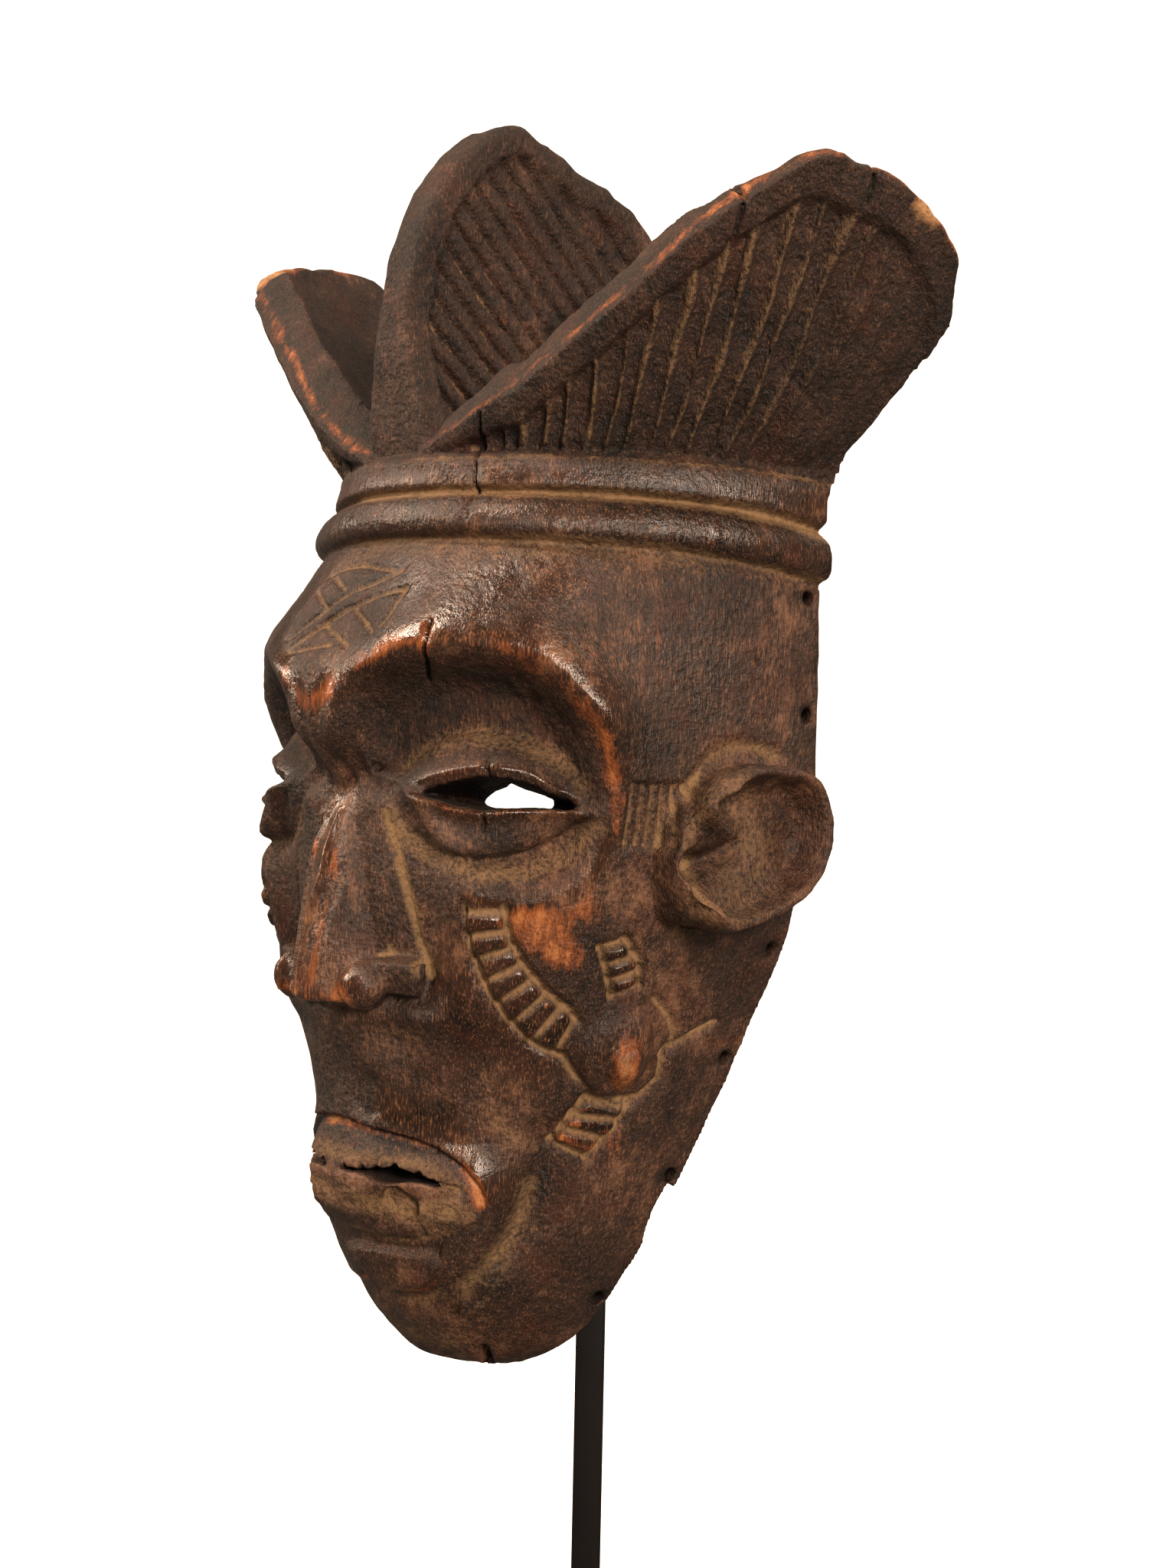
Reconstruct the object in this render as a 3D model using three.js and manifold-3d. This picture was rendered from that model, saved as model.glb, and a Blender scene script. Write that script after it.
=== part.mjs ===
// A carved wooden face mask with a three-lobed crest, held up on a square steel bar with a round foot.
// Millimetres, +Z up. The face looks towards -Y, and the origin is the centre of the foot's underside.
import * as THREE from "three";
import { mergeVertices } from "three/addons/utils/BufferGeometryUtils.js";
import Module from "manifold-3d";

const wasm = await Module();
wasm.setup();

// Stand: a round foot, a square bar set cornerwise, and a plate inside the mask's hollow
const FOOT_RADIUS = 80;
const FOOT_THICK = 8;
const FOOT_CHAMFER = 1;
const BAR_SIDE = 8;
const BAR_CORNER = 0.9;
const PLATE_WIDE = 40;
const PLATE_LONG = 56;
const PLATE_THICK = 5;
const PLATE_FORWARD = 20;
const JOINT_GAP = 0.3;

// Mask, in a frame of its own: X = 0 is the midline, Y = 0 the rim's plane, Z = 0 just under the chin
const MASK_LIFT = 107;
const MASK_BACK = 2;
const SQUARENESS = [[0, 2.25], [205, 2.25], [243, 1.85]];
const HALF_WIDTHS = [
  [0, 2], [4, 7], [10, 14], [20, 25], [30, 33], [45, 40], [60, 45], [100, 58],
  [140, 71.3], [170, 76.6], [250, 76],
];
const FACE_DEPTHS = [
  [0, 38], [10, 51], [20, 64], [40, 75.5], [60, 81.6], [100, 91.3], [130, 98],
  [165, 97], [192, 96.8], [208, 93], [225, 83], [243, 78.5],
];
const RIM_LINE = [[0, -38], [10, -37], [25, -31], [45, -23], [70, -13], [100, -5], [130, 0], [250, 0]];
const CHIN_BOTTOM = 12.5;
const WALL = 11;
const EYE_WALL = 25;
const HOLLOW_TOP = 228;
const HOLLOW_BOTTOM = 32;
const BEHIND_EYE = { in: [0, 14], out: [46, 60], foot: [122, 138], top: [202, 216] };
const BEHIND_NOSE = { thicker: 4, out: [10, 30] };

// Headband: a round roll, a dusty groove and a flat band over it, both sinking towards the ears
const ROLL_HEIGHT = 231;
const ROLL_HALF = 5.5;
const ROLL_PROUD = 4;
const FLAT_BAND = [238.5, 244.5];
const FLAT_PROUD = 2.2;
const BODY_TOP = 247;

// Form of the face over the blank, as heights and millimetres: at the midline, and beside the mouth
const FORM_MIDDLE = [
  [12, 0], [20, 1], [30, 2], [36, 2.2], [38.5, 4.3], [44, 4.6], [50, 5.2], [54, 7], [60, 9.3], [66, 9.5],
  [72, 7], [78, 4.2], [82, 2.8], [88, 1.6], [94, 0.8], [104, 0.8], [112, 0], [250, 0],
];
const FORM_SIDE = [
  [12, 0], [20, 0], [30, 0.5], [36.5, 1], [39, 2.4], [50, 4], [58, 5.4], [64, 4.8], [70, 3], [74, 0.8],
  [78, -1], [84, -1.5], [92, -1.4], [102, -0.9], [108, 0.4], [116, 0.6], [122, -0.1], [126, 0.2], [132, 0.9],
  [138, 1.8], [144, 2.4], [150, 1.5], [158, 0], [250, 0],
];
const FORM_REACH = [36, 52];
const FORM_BLEND = [4, 26];
const FAR_TEMPLE = { middle: -29, wide: 22, rows: [191, 201], flatter: 3 };

// Orbit outline, one side: degrees round the face from the midline, and height
const BROW_EDGE = [
  [0, 183], [4.6, 184.5], [7, 190], [10.8, 194.4], [16, 197.3], [22, 199.5], [31, 200], [42, 197.5],
  [48.1, 190.7], [53.4, 181.8], [55.6, 176],
];
const BROW_ROW = 195;
const ORBIT = [
  ...BROW_EDGE.slice(1), [55.8, 158], [55, 148], [52.5, 141], [48, 138], [42, 136], [36, 137],
  [31, 138.5], [25, 143], [20, 150], [12, 158], [4, 162], [2, 168], [2.4, 175],
];
const ORBIT_DEEP = 9.5;
const ORBIT_SHALLOW = 3;
const BROW_PROUD = 4.7;
const RIM_PROUD = 0.6;
const BROW_CORNER = { at: [51, 183], half: [10, 12], proud: 3 };
const RIM_SOFT = 9;
const ORBIT_SLOPE = 13.5;
const MM_PER_DEGREE = 1.45;

// Eye: an almond swelling inside the orbit with a puffed lower lid, slit right through
const EYE_CENTRE = [32.5, 163.5];
const EYE_HALF = [19, 15];
const EYE_PROUD = 8;
const LOWER_LID = [
  [16.5, 163.5], [20.4, 159], [23.6, 153.3], [27.9, 149.7], [33.6, 148], [39.9, 149.5], [46.7, 152.7], [51.7, 158.6],
];
const LID_PUFF = { proud: 2.4, in: [15, 20], out: [50, 55], top: [157, 164] };
const SLIT = [
  [18, 164.8], [24, 166.7], [28, 168], [33.5, 168.9], [40, 168], [45.5, 164], [51, 160.8],
  [45.7, 160.2], [39.4, 160.2], [33.7, 160], [27, 160.9], [22.5, 162.7],
];
const EYE_CUT = { outward: 6, inward: 34, widen: 1.1 };

// Ridge from the brow's middle down the nose: how far out it is, and its half-width in degrees
const NOSE_BASE = 111;
const RIDGE_OUT = [
  [105, 8.2], [111, 7.8], [117, 6.2], [124.7, 4], [132, 2.5], [140, 1.2], [148, -0.2], [158, -2.7], [162.4, -1.6],
  [168, 1.5], [174, 3.5], [178, 4.5], [184, 5], [192, 4.7], [200, 2], [210, -2], [250, -12],
];
const RIDGE_HALF = [
  [105, 9.5], [125, 8.4], [136, 8.5], [147, 9], [155, 8.4], [159, 6], [163, 3], [168, 2.1], [174, 2.6],
  [178, 3.4], [184, 5], [190, 8], [196, 12], [250, 16],
];
const RIDGE_DROP = [[105, 7.8], [152, 7.8], [163, 3], [250, 3]];
const LEDGE = { rows: [113.5, 124.5], end: 22.5, lift: -0.5 };
const FALL_AWAY = [20, 30];
const UNDER_NOSE = { at: [15, 105], half: [8, 6], deep: 2.2 };
const NOSE_HOLLOW = { deep: 8, nearRidge: 0.7, in: [9, 21], out: [23, 34], foot: [107, 118], top: [164, 180] };
const WING_BALL = [20.5, -89, 117.5];
const WING_BALL_RADIUS = 6;

// Mouth: a bulging oval under an upper lip with a sharp edge, with a thin slit
const LIP_EDGE = [[0, 82], [12.9, 79.3], [18.6, 78.3], [26.7, 76.1], [32.9, 73], [37, 69.6], [39.9, 65.7]];
const LIP_ROW = 76.4;
const MOUTH = [...LIP_EDGE, [40.7, 61.5], [38.5, 57.5], [31.6, 55.3], [21, 52.6], [5, 52.2], [0, 52.2]];
const LIP_PROUD = 0.9;
const LIP_UNDERCUT = 1.2;
const LIP_TURNS = [58, 66];
const LIP_FADES = [2.5, 4, 5];
const MOUTH_SLIT_HALF = 27;
const MOUTH_SLIT = [66.4, 69.2];
const MOUTH_CUT = { outward: 8, inward: 20, widen: 1 };
const CHEEK_GROOVE = [[52, 80], [54.5, 73.5], [52.5, 64.2], [50.8, 55.5], [45.3, 48.3], [35.3, 39.5]];
const CHEEK_GROOVE_DEEP = 2.6;
const CHEEK_GROOVE_HALF = 5;

// Scars: ladders of raised rungs between two lines, and a boss with a bead on each cheek
const LADDERS = [
  {
    inner: [[33, 135], [37, 119], [46, 105], [54, 99.5]],
    outer: [[40, 136], [43, 124], [50, 115], [56, 108]],
    rungs: 7,
  },
  { inner: [[57.5, 127], [61, 115]], outer: [[61.5, 129], [66, 117]], rungs: 4 },
  { inner: [[60.5, 88.5], [54, 77.5]], outer: [[70.5, 86], [63.5, 72.5]], rungs: 3 },
];
const TEMPLE_LADDER = { from: 58.5, to: 67, low: 152.5, high: 165.5, rungs: 5 };
const RUNG_WIDE = 1.9;
const RUNG_PROUD = 1.1;
const BOSS = [64.5, 99];
const BOSS_HALF = [7.4, 12];
const BOSS_PROUD = 3.2;
const BEAD_RADII = [3, 3.4, 5];

// Ears: a C-shaped rim round a shallow bowl
const EAR_CENTRE = [-21.5, 152.5];
const EAR_HALF = [17, 18.5];
const EAR_RIM_RADIUS = 3.8;
const EAR_OUT = [76.5, 82.5];
const EAR_BOWL = 4.5;
const EAR_TAPER = 0.2;
const TRAGUS_RADIUS = 4.5;

// Crest wings: plates that flare out and back as they rise from the headband
const CREST_BASE = 243;
const CREST_HALF = 76;
const CREST_FRONT = 77.2;
const CREST_ROUND = 1.77;
const WING_FLARE = { left: [0.0096, 0.01], right: [0.0109, 0.0098] };
const WING_BEND = { height: 70, power: 0.8 };
const WING_SWEEP = 0.248;
const WING_SWEEP_POWER = 3.5;
const WING_LEAN = 0.285;
const WING_TOP = {
  left: [
    [8, 4], [20, 12], [30, 21.5], [38, 32.5], [46, 46], [54, 60.5], [62, 68.8], [70, 65.5], [78, 58],
    [84, 50.5], [88, 42], [90, 37],
  ],
  right: [
    [8, 4], [20, 12], [30, 23], [38, 37], [44, 50], [50, 61], [56, 67.5], [62, 72.5], [70, 77], [78, 79.5],
    [84, 79], [88, 72], [90, 64],
  ],
};
const WING_RISE = [[8, 5], [25, 9], [45, 8.5], [55, 3.5], [65, 1], [90, 0.5]];
const WING_THICK = 10;
const WING_ROOT = 17;
const WING_BORDER = 9;
const BORDER_PROUD = 1.4;
const FLUTES = 14;
const FLUTE_DEEP = 1.3;

// Crest fin on the midline: its outline from the front foot over the peak to the back, as Y and Z
const FIN = [
  [-68, 240], [-76, 246], [-78, 262], [-79, 280], [-77.6, 292], [-73.5, 306], [-67.3, 318.5], [-58, 328.5],
  [-50, 334.3], [-43, 337.3], [-36.5, 335.5], [-22.5, 330], [-7.5, 325.5], [4, 320], [10.5, 312], [12.5, 300],
  [11, 275], [5, 240],
];
const FIN_HALF = 6.5;
const FIN_ROOT_HALF = 13;
const FIN_BORDER = 9;

// Holes and losses in the rim
const HOLES = [[86.5, 217], [87, 184], [87.5, 124.5], [87.5, 96], [86, 65], [86.5, 33]];
const HOLE_RADIUS = 2;

const WOOD = { color: 0x2a1a10, roughness: 0.55, metalness: 0 };
const STEEL = { color: 0x0c0c0d, roughness: 0.45, metalness: 0 };

const radians = THREE.MathUtils.degToRad;
const lerp = THREE.MathUtils.lerp;
const smooth = (low, high, x) => THREE.MathUtils.smoothstep(x, low, high);
const hump = (x) => Math.exp(-x * x);

// A smooth curve through points that never overshoots them, as a function of the first coordinate
function curveThrough(points) {
  const last = points.length - 1;
  const grade = (i) => (points[i + 1][1] - points[i][1]) / (points[i + 1][0] - points[i][0]);
  const tangent = (i) => {
    if (i === 0) return grade(0);
    if (i === last) return grade(last - 1);
    const before = grade(i - 1);
    const after = grade(i);
    return before * after <= 0 ? 0 : (2 * before * after) / (before + after);
  };
  return (x) => {
    const at = Math.min(Math.max(x, points[0][0]), points[last][0]);
    let i = 0;
    while (i < last - 1 && at > points[i + 1][0]) i += 1;
    const step = points[i + 1][0] - points[i][0];
    const t = (at - points[i][0]) / step;
    const curve = t * t * (3 - 2 * t);
    const bendIn = t * (1 - t) * (1 - t) * step;
    const bendOut = t * t * (1 - t) * step;
    return lerp(points[i][1], points[i + 1][1], curve) + tangent(i) * bendIn - tangent(i + 1) * bendOut;
  };
}

// Distance in millimetres from a place on the face to an outline, positive inside a closed one
function distanceTo(outline, a, z, closed) {
  let nearest = Infinity;
  let inside = false;
  const count = closed ? outline.length : outline.length - 1;
  for (let i = 0; i < count; i += 1) {
    const [a1, z1] = outline[i];
    const [a2, z2] = outline[(i + 1) % outline.length];
    const run = [(a2 - a1) * MM_PER_DEGREE, z2 - z1];
    const off = [(a - a1) * MM_PER_DEGREE, z - z1];
    const along = (off[0] * run[0] + off[1] * run[1]) / (run[0] ** 2 + run[1] ** 2);
    const t = Math.min(Math.max(along, 0), 1);
    nearest = Math.min(nearest, Math.hypot(off[0] - run[0] * t, off[1] - run[1] * t));
    const crosses = (z1 > z) !== (z2 > z);
    if (crosses && a < ((a2 - a1) * (z - z1)) / (z2 - z1) + a1) inside = !inside;
  }
  return inside ? nearest : -nearest;
}

const halfWidth = curveThrough(HALF_WIDTHS);
const faceDepth = curveThrough(FACE_DEPTHS);
const rimLine = curveThrough(RIM_LINE);
const squareness = curveThrough(SQUARENESS);
const formMiddle = curveThrough(FORM_MIDDLE);
const formSide = curveThrough(FORM_SIDE);
const ridgeOut = curveThrough(RIDGE_OUT);
const ridgeHalf = curveThrough(RIDGE_HALF);
const ridgeDrop = curveThrough(RIDGE_DROP);
const lowerLid = curveThrough(LOWER_LID);
const lipEdge = curveThrough(LIP_EDGE);
const browEdge = curveThrough(BROW_EDGE);
const wingTop = { left: curveThrough(WING_TOP.left), right: curveThrough(WING_TOP.right) };
const wingRise = curveThrough(WING_RISE);
const bandDrop = curveThrough([[0, 0], [205, 0], [ROLL_HEIGHT, 9.5], [243, 4], [250, 3]]);

function bandRelief(row) {
  const roll = Math.max(0, 1 - ((row - ROLL_HEIGHT) / ROLL_HALF) ** 2);
  const flat = smooth(FLAT_BAND[0] - 1.5, FLAT_BAND[0], row) * (1 - smooth(FLAT_BAND[1], BODY_TOP, row));
  return ROLL_PROUD * Math.sqrt(roll) + FLAT_PROUD * flat;
}

// The large swellings of cheek, mouth and chin, and the dip under the nose
function formRelief(a, z) {
  const whole = lerp(formMiddle(z), formSide(z), smooth(...FORM_BLEND, a)) * (1 - smooth(...FORM_REACH, a));
  const [middleA, middleZ] = UNDER_NOSE.at;
  const [halfA, halfZ] = UNDER_NOSE.half;
  return whole - UNDER_NOSE.deep * hump((a - middleA) / halfA) * hump((z - middleZ) / halfZ);
}

// The hollow beside the nose, which runs up into the orbit
function noseHollow(a, z) {
  const { deep, nearRidge, foot, top } = NOSE_HOLLOW;
  const across = lerp(nearRidge, 1, smooth(...NOSE_HOLLOW.in, a)) * (1 - smooth(...NOSE_HOLLOW.out, a));
  return -deep * across * smooth(...foot, z) * (1 - smooth(...top, z));
}

function orbitRelief(a, z) {
  const inside = distanceTo(ORBIT, a, z, true);
  const high = smooth(150, 182, z);
  const { at, half, proud } = BROW_CORNER;
  const corner = [((a - at[0]) * MM_PER_DEGREE) / half[0], (z - at[1]) / half[1]];
  const edge = lerp(RIM_PROUD, BROW_PROUD, high) + proud * hump(Math.hypot(...corner));
  if (inside < 0) return edge * hump(inside / RIM_SOFT);
  const deep = lerp(ORBIT_SHALLOW, ORBIT_DEEP, smooth(140, 158, z));
  return lerp(edge, -deep, smooth(0, ORBIT_SLOPE, inside));
}

function eyeRelief(a, z) {
  const across = (a - EYE_CENTRE[0]) / EYE_HALF[0];
  const up = (z - EYE_CENTRE[1]) / EYE_HALF[1];
  const ball = EYE_PROUD * Math.max(0, 1 - across ** 2 - up ** 2) ** 0.9;
  const lidReach = smooth(...LID_PUFF.in, a) * (1 - smooth(...LID_PUFF.out, a));
  const pocket = smooth(-3, 3, z - lowerLid(a)) * (1 - smooth(...LID_PUFF.top, z));
  return ball + LID_PUFF.proud * pocket * lidReach;
}

// Where the brow's middle and the nose are: a height over the blank, far below it elsewhere
function ridgeRelief(a, z) {
  const ridge = ridgeOut(z) - ridgeDrop(z) * (a / ridgeHalf(z)) ** 1.5;
  const [low, high] = LEDGE.rows;
  const beyond = 1 - smooth(low - 1, low + 0.5, z) + smooth(LEDGE.end, LEDGE.end + 3.5, a) + smooth(high, high + 4, z);
  const under = 1 - smooth(NOSE_BASE - 0.9, NOSE_BASE + 0.5, z);
  return Math.max(ridge, LEDGE.lift - FALL_AWAY[0] * beyond) - FALL_AWAY[1] * under;
}

// The upper lip's sharp edge with a recess under it, and the lower lip's border
function mouthRelief(a, z) {
  const inside = distanceTo([...MOUTH, ...MOUTH.slice(1, -1).reverse().map(([p, q]) => [-p, q])], a, z, true);
  const upper = smooth(...LIP_TURNS, z);
  const [recess, edge, border] = LIP_FADES;
  if (inside > 0) return -LIP_UNDERCUT * upper * Math.exp(-inside / recess);
  return LIP_PROUD * upper * Math.exp(inside / edge) - LIP_UNDERCUT * (1 - upper) * Math.exp(inside / border);
}

function cheekRelief(a, z) {
  const groove = distanceTo(CHEEK_GROOVE, a, z, false);
  const boss = Math.max(0, 1 - ((a - BOSS[0]) / BOSS_HALF[0]) ** 2 - ((z - BOSS[1]) / BOSS_HALF[1]) ** 2);
  return BOSS_PROUD * Math.sqrt(boss) - CHEEK_GROOVE_DEEP * hump(groove / CHEEK_GROOVE_HALF);
}

// How far the carving stands out from, or sinks below, the plain curved blank
function relief(phi, row) {
  const a = Math.abs(phi);
  const { middle, wide, rows, flatter } = FAR_TEMPLE;
  const orbit = orbitRelief(a, row);
  const sunken = orbit + Math.min(0, noseHollow(a, row) - Math.min(orbit, 0));
  const carving = formRelief(a, row) + sunken + eyeRelief(a, row) + mouthRelief(a, row);
  const flat = flatter * hump((phi - middle) / wide) * smooth(...rows, row);
  return Math.max(carving, ridgeRelief(a, row)) + bandRelief(row) + cheekRelief(a, row) - flat;
}

// The blank's surface at a height: phi is degrees round from the midline
function level(phi, z, lift = 0) {
  const s = Math.sin(radians(phi));
  const c = Math.cos(radians(phi));
  const wide = halfWidth(z);
  const deep = faceDepth(z) + rimLine(z);
  const round = 2 / squareness(z);
  const side = Math.sign(s) * Math.abs(s) ** round;
  const front = Math.max(c, 0) ** round;
  const normal = new THREE.Vector2(
    (Math.sign(s) * Math.abs(side) ** (2 / round - 1)) / wide,
    -(front ** (2 / round - 1)) / deep,
  ).normalize();
  return new THREE.Vector3(wide * side + normal.x * lift, rimLine(z) - deep * front + normal.y * lift, z);
}

// Rows are heights at the midline, and near the headband they sink towards the ears
const blank = (phi, row, lift) => level(phi, row - bandDrop(row) * (Math.abs(phi) / 90) ** 3, lift);
const skin = (phi, row, lift = 0) => blank(phi, row, relief(phi, row) + lift);

// The same surface on rows that bend with the brow and with the upper lip, so their edges stay crisp
function carved(phi, row) {
  const a = Math.abs(phi);
  const browPull = Math.min(smooth(160, BROW_ROW, row), 1 - smooth(BROW_ROW, 226, row));
  const lipPull = Math.min(smooth(50, LIP_ROW, row), 1 - smooth(LIP_ROW, 106, row));
  const brow = (browEdge(a) - BROW_ROW) * (1 - smooth(44, 60, a));
  const lip = (lipEdge(a) - LIP_ROW) * (1 - smooth(40, 62, a));
  return skin(phi, row + brow * browPull + lip * lipPull);
}

// A closed solid from a stack of closed rings, with a fan of faces over each end. Each four-sided
// patch is split along its shorter diagonal, so that a slanting edge in the carving stays smooth
function loft(rings) {
  const size = rings[0].length;
  const positions = [];
  const indices = [];
  for (const ring of rings) for (const p of ring) positions.push(p.x, p.y, p.z);
  for (let r = 0; r + 1 < rings.length; r += 1) {
    for (let i = 0; i < size; i += 1) {
      const a = r * size + i;
      const b = r * size + ((i + 1) % size);
      const [low, high] = [rings[r], rings[r + 1]];
      const rising = low[i].distanceTo(high[b - r * size]) <= low[b - r * size].distanceTo(high[i]);
      if (rising) indices.push(a, b, b + size, a, b + size, a + size);
      else indices.push(a, b, a + size, b, b + size, a + size);
    }
  }
  for (const [ring, offset, flip] of [[rings[0], 0, true], [rings.at(-1), (rings.length - 1) * size, false]]) {
    const centre = ring.reduce((sum, p) => sum.add(p), new THREE.Vector3()).divideScalar(size);
    const hub = positions.length / 3;
    positions.push(centre.x, centre.y, centre.z);
    for (let i = 0; i < size; i += 1) {
      const a = offset + i;
      const b = offset + ((i + 1) % size);
      indices.push(...(flip ? [b, a, hub] : [a, b, hub]));
    }
  }
  const geometry = new THREE.BufferGeometry();
  geometry.setAttribute("position", new THREE.Float32BufferAttribute(positions, 3));
  geometry.setIndex(indices);
  return geometry;
}

function solid(geometry) {
  geometry.deleteAttribute("normal");
  geometry.deleteAttribute("uv");
  const merged = mergeVertices(geometry, 1e-4);
  const vertProperties = new Float32Array(merged.attributes.position.array);
  const triVerts = new Uint32Array(merged.index.array);
  const made = new wasm.Manifold(new wasm.Mesh({ numProp: 3, vertProperties, triVerts }));
  if (made.volume() > 0) return made;
  for (let i = 0; i < triVerts.length; i += 3) [triVerts[i], triVerts[i + 1]] = [triVerts[i + 1], triVerts[i]];
  return new wasm.Manifold(new wasm.Mesh({ numProp: 3, vertProperties, triVerts }));
}

function geometryOf(manifold) {
  const mesh = manifold.getMesh();
  const geometry = new THREE.BufferGeometry();
  geometry.setAttribute("position", new THREE.BufferAttribute(new Float32Array(mesh.vertProperties), 3));
  geometry.setIndex(new THREE.BufferAttribute(new Uint32Array(mesh.triVerts), 1));
  return geometry;
}

// Steps from one value to the next in each stretch of a list of [end, step size]
function steps(start, stretches) {
  const values = [start];
  for (const [end, step] of stretches) {
    const from = values.at(-1);
    const count = Math.max(1, Math.round(Math.abs(end - from) / step));
    for (let i = 1; i <= count; i += 1) values.push(lerp(from, end, i / count));
  }
  return values;
}

function faceBody() {
  const half = steps(0, [[24, 3], [52, 3.5], [57.5, 2.75], [90, 8]]);
  const columns = [...half.slice(1).reverse().map((a) => -a), ...half];
  const rows = steps(CHIN_BOTTOM + 2, [
    [44, 7], [62, 5], [80, 3.6], [108, 7], [110.5, 2.5], [113, 2.5],
    [136, 5.7], [190, 5.4], [200, 3.3], [224, 8], [238, 2.8], [BODY_TOP, 3],
  ]);
  const chin = columns.map((phi) => skin(phi, CHIN_BOTTOM, -4));
  return solid(loft([chin, ...rows.map((row) => columns.map((phi) => carved(phi, row)))]));
}

// The hollow follows the face inside, deeper behind the eyes, and runs out through the back
function hollow() {
  const columns = steps(-90, [[90, 12]]);
  const rows = steps(HOLLOW_BOTTOM, [[60, 9], [120, 20], [212, 15], [HOLLOW_TOP, 8]]);
  const deepness = (phi, row) => {
    const a = Math.abs(phi);
    const across = smooth(...BEHIND_EYE.in, a) * (1 - smooth(...BEHIND_EYE.out, a));
    const up = smooth(...BEHIND_EYE.foot, row) * (1 - smooth(...BEHIND_EYE.top, row));
    const behindNose = BEHIND_NOSE.thicker * (1 - smooth(...BEHIND_NOSE.out, a));
    return Math.max(WALL + behindNose, lerp(WALL, EYE_WALL, across * up));
  };
  const rings = rows.map((row) => {
    const tuck = 12 * (1 - smooth(HOLLOW_BOTTOM - 6, HOLLOW_BOTTOM + 22, row));
    const inside = columns.map((phi) => level(phi, row, -deepness(phi, row) - tuck * Math.cos(radians(phi))));
    const back = [inside.at(-1), inside[0]].map((p) => new THREE.Vector3(p.x, 40, p.z));
    return [...inside, ...back];
  });
  return solid(loft(rings));
}

// A cutter through the face wall whose outline is drawn on the face
function pierce(outline, { outward, inward, widen }) {
  const [ca, cz] = outline.reduce(([p, q], [a, z]) => [p + a, q + z], [0, 0]).map((v) => v / outline.length);
  const outer = outline.map(([a, z]) => blank(a, z, outward));
  const inner = outline.map(([a, z]) => blank(ca + (a - ca) * widen, cz + (z - cz) * widen, -inward));
  return solid(loft([outer, inner]));
}

function mouthSlit() {
  const [low, high] = MOUTH_SLIT;
  const angles = steps(-MOUTH_SLIT_HALF, [[MOUTH_SLIT_HALF, 8]]);
  const sag = (a) => 3 * (a / MOUTH_SLIT_HALF) ** 2;
  const taper = (a) => 1 - 0.6 * (a / MOUTH_SLIT_HALF) ** 2;
  const middle = (low + high) / 2;
  const above = angles.map((a) => [a, middle - sag(a) + ((high - low) / 2) * taper(a)]);
  const below = angles.map((a) => [a, middle - sag(a) - ((high - low) / 2) * taper(a)]).reverse();
  return pierce([...above, ...below], MOUTH_CUT);
}

// The mask's own left is +X
const hand = (side) => (side > 0 ? "left" : "right");

// One point of a crest wing's outer face: side is +1 or -1, h the height over the headband
function wingFace(side, phi, h, inward = 0) {
  const s = Math.sin(radians(phi));
  const c = Math.cos(radians(phi));
  const spread = WING_BEND.height * (Math.max(h, 0) / WING_BEND.height) ** WING_BEND.power;
  const flare = lerp(...WING_FLARE[hand(side)], smooth(50, 90, phi));
  const x = CREST_HALF * s ** (2 / CREST_ROUND) * (1 + flare * spread);
  const sweep = WING_SWEEP * (phi / 90) ** WING_SWEEP_POWER - WING_LEAN * c;
  const y = -CREST_FRONT * c ** (2 / CREST_ROUND) + sweep * spread;
  return new THREE.Vector3(side * (x - inward * s), y + inward * c, CREST_BASE + h);
}

function crestWing(side) {
  const columns = steps(9, [[89.5, 80.5 / (2 * FLUTES + 1)]]);
  const rings = columns.map((phi, i) => {
    const top = wingTop[hand(side)](phi);
    const border = Math.min(WING_BORDER, top * 0.45);
    const panel = BORDER_PROUD + (i % 2 ? FLUTE_DEEP : 0);
    const outer = [[-9, 0], [1, 0], [2.2, panel], [(top - border) * 0.55, panel], [top - border - 0.8, panel],
      [top - border, 0], [top - 1, 0]];
    const rim = wingFace(side, phi, top, 1);
    const innerTop = wingFace(side, phi, top, WING_THICK);
    innerTop.z += wingRise(phi);
    const innerMiddle = wingFace(side, phi, top * 0.5, lerp(WING_THICK, WING_ROOT, 0.5));
    const innerRoot = wingFace(side, phi, 2, WING_ROOT);
    const innerFoot = wingFace(side, phi, -9, WING_ROOT);
    return [...outer.map(([h, inward]) => wingFace(side, phi, h, inward)), rim, innerTop,
      innerMiddle, innerRoot, innerFoot];
  });
  return solid(loft(rings));
}

// The fin is the same outline at several distances from the midline, drawn in towards the middle
function crestFin() {
  const middle = [-34, 280];
  const ring = (x, inset) => FIN.map(([y, z]) => {
    const away = new THREE.Vector2(y - middle[0], z - middle[1]);
    away.setLength(Math.max(away.length() - inset, 1));
    const root = lerp(FIN_ROOT_HALF / FIN_HALF, 1, smooth(246, 290, middle[1] + away.y));
    return new THREE.Vector3(x * root, middle[0] + away.x, Math.max(middle[1] + away.y, 238));
  });
  const side = [[FIN_HALF - 1.2, FIN_BORDER + 2], [FIN_HALF, FIN_BORDER], [FIN_HALF, 2.5], [FIN_HALF - 2.5, 0]];
  const rings = [...side.map(([x, inset]) => ring(-x, inset)), ...side.reverse().map(([x, inset]) => ring(x, inset))];
  return solid(loft(rings));
}

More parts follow.
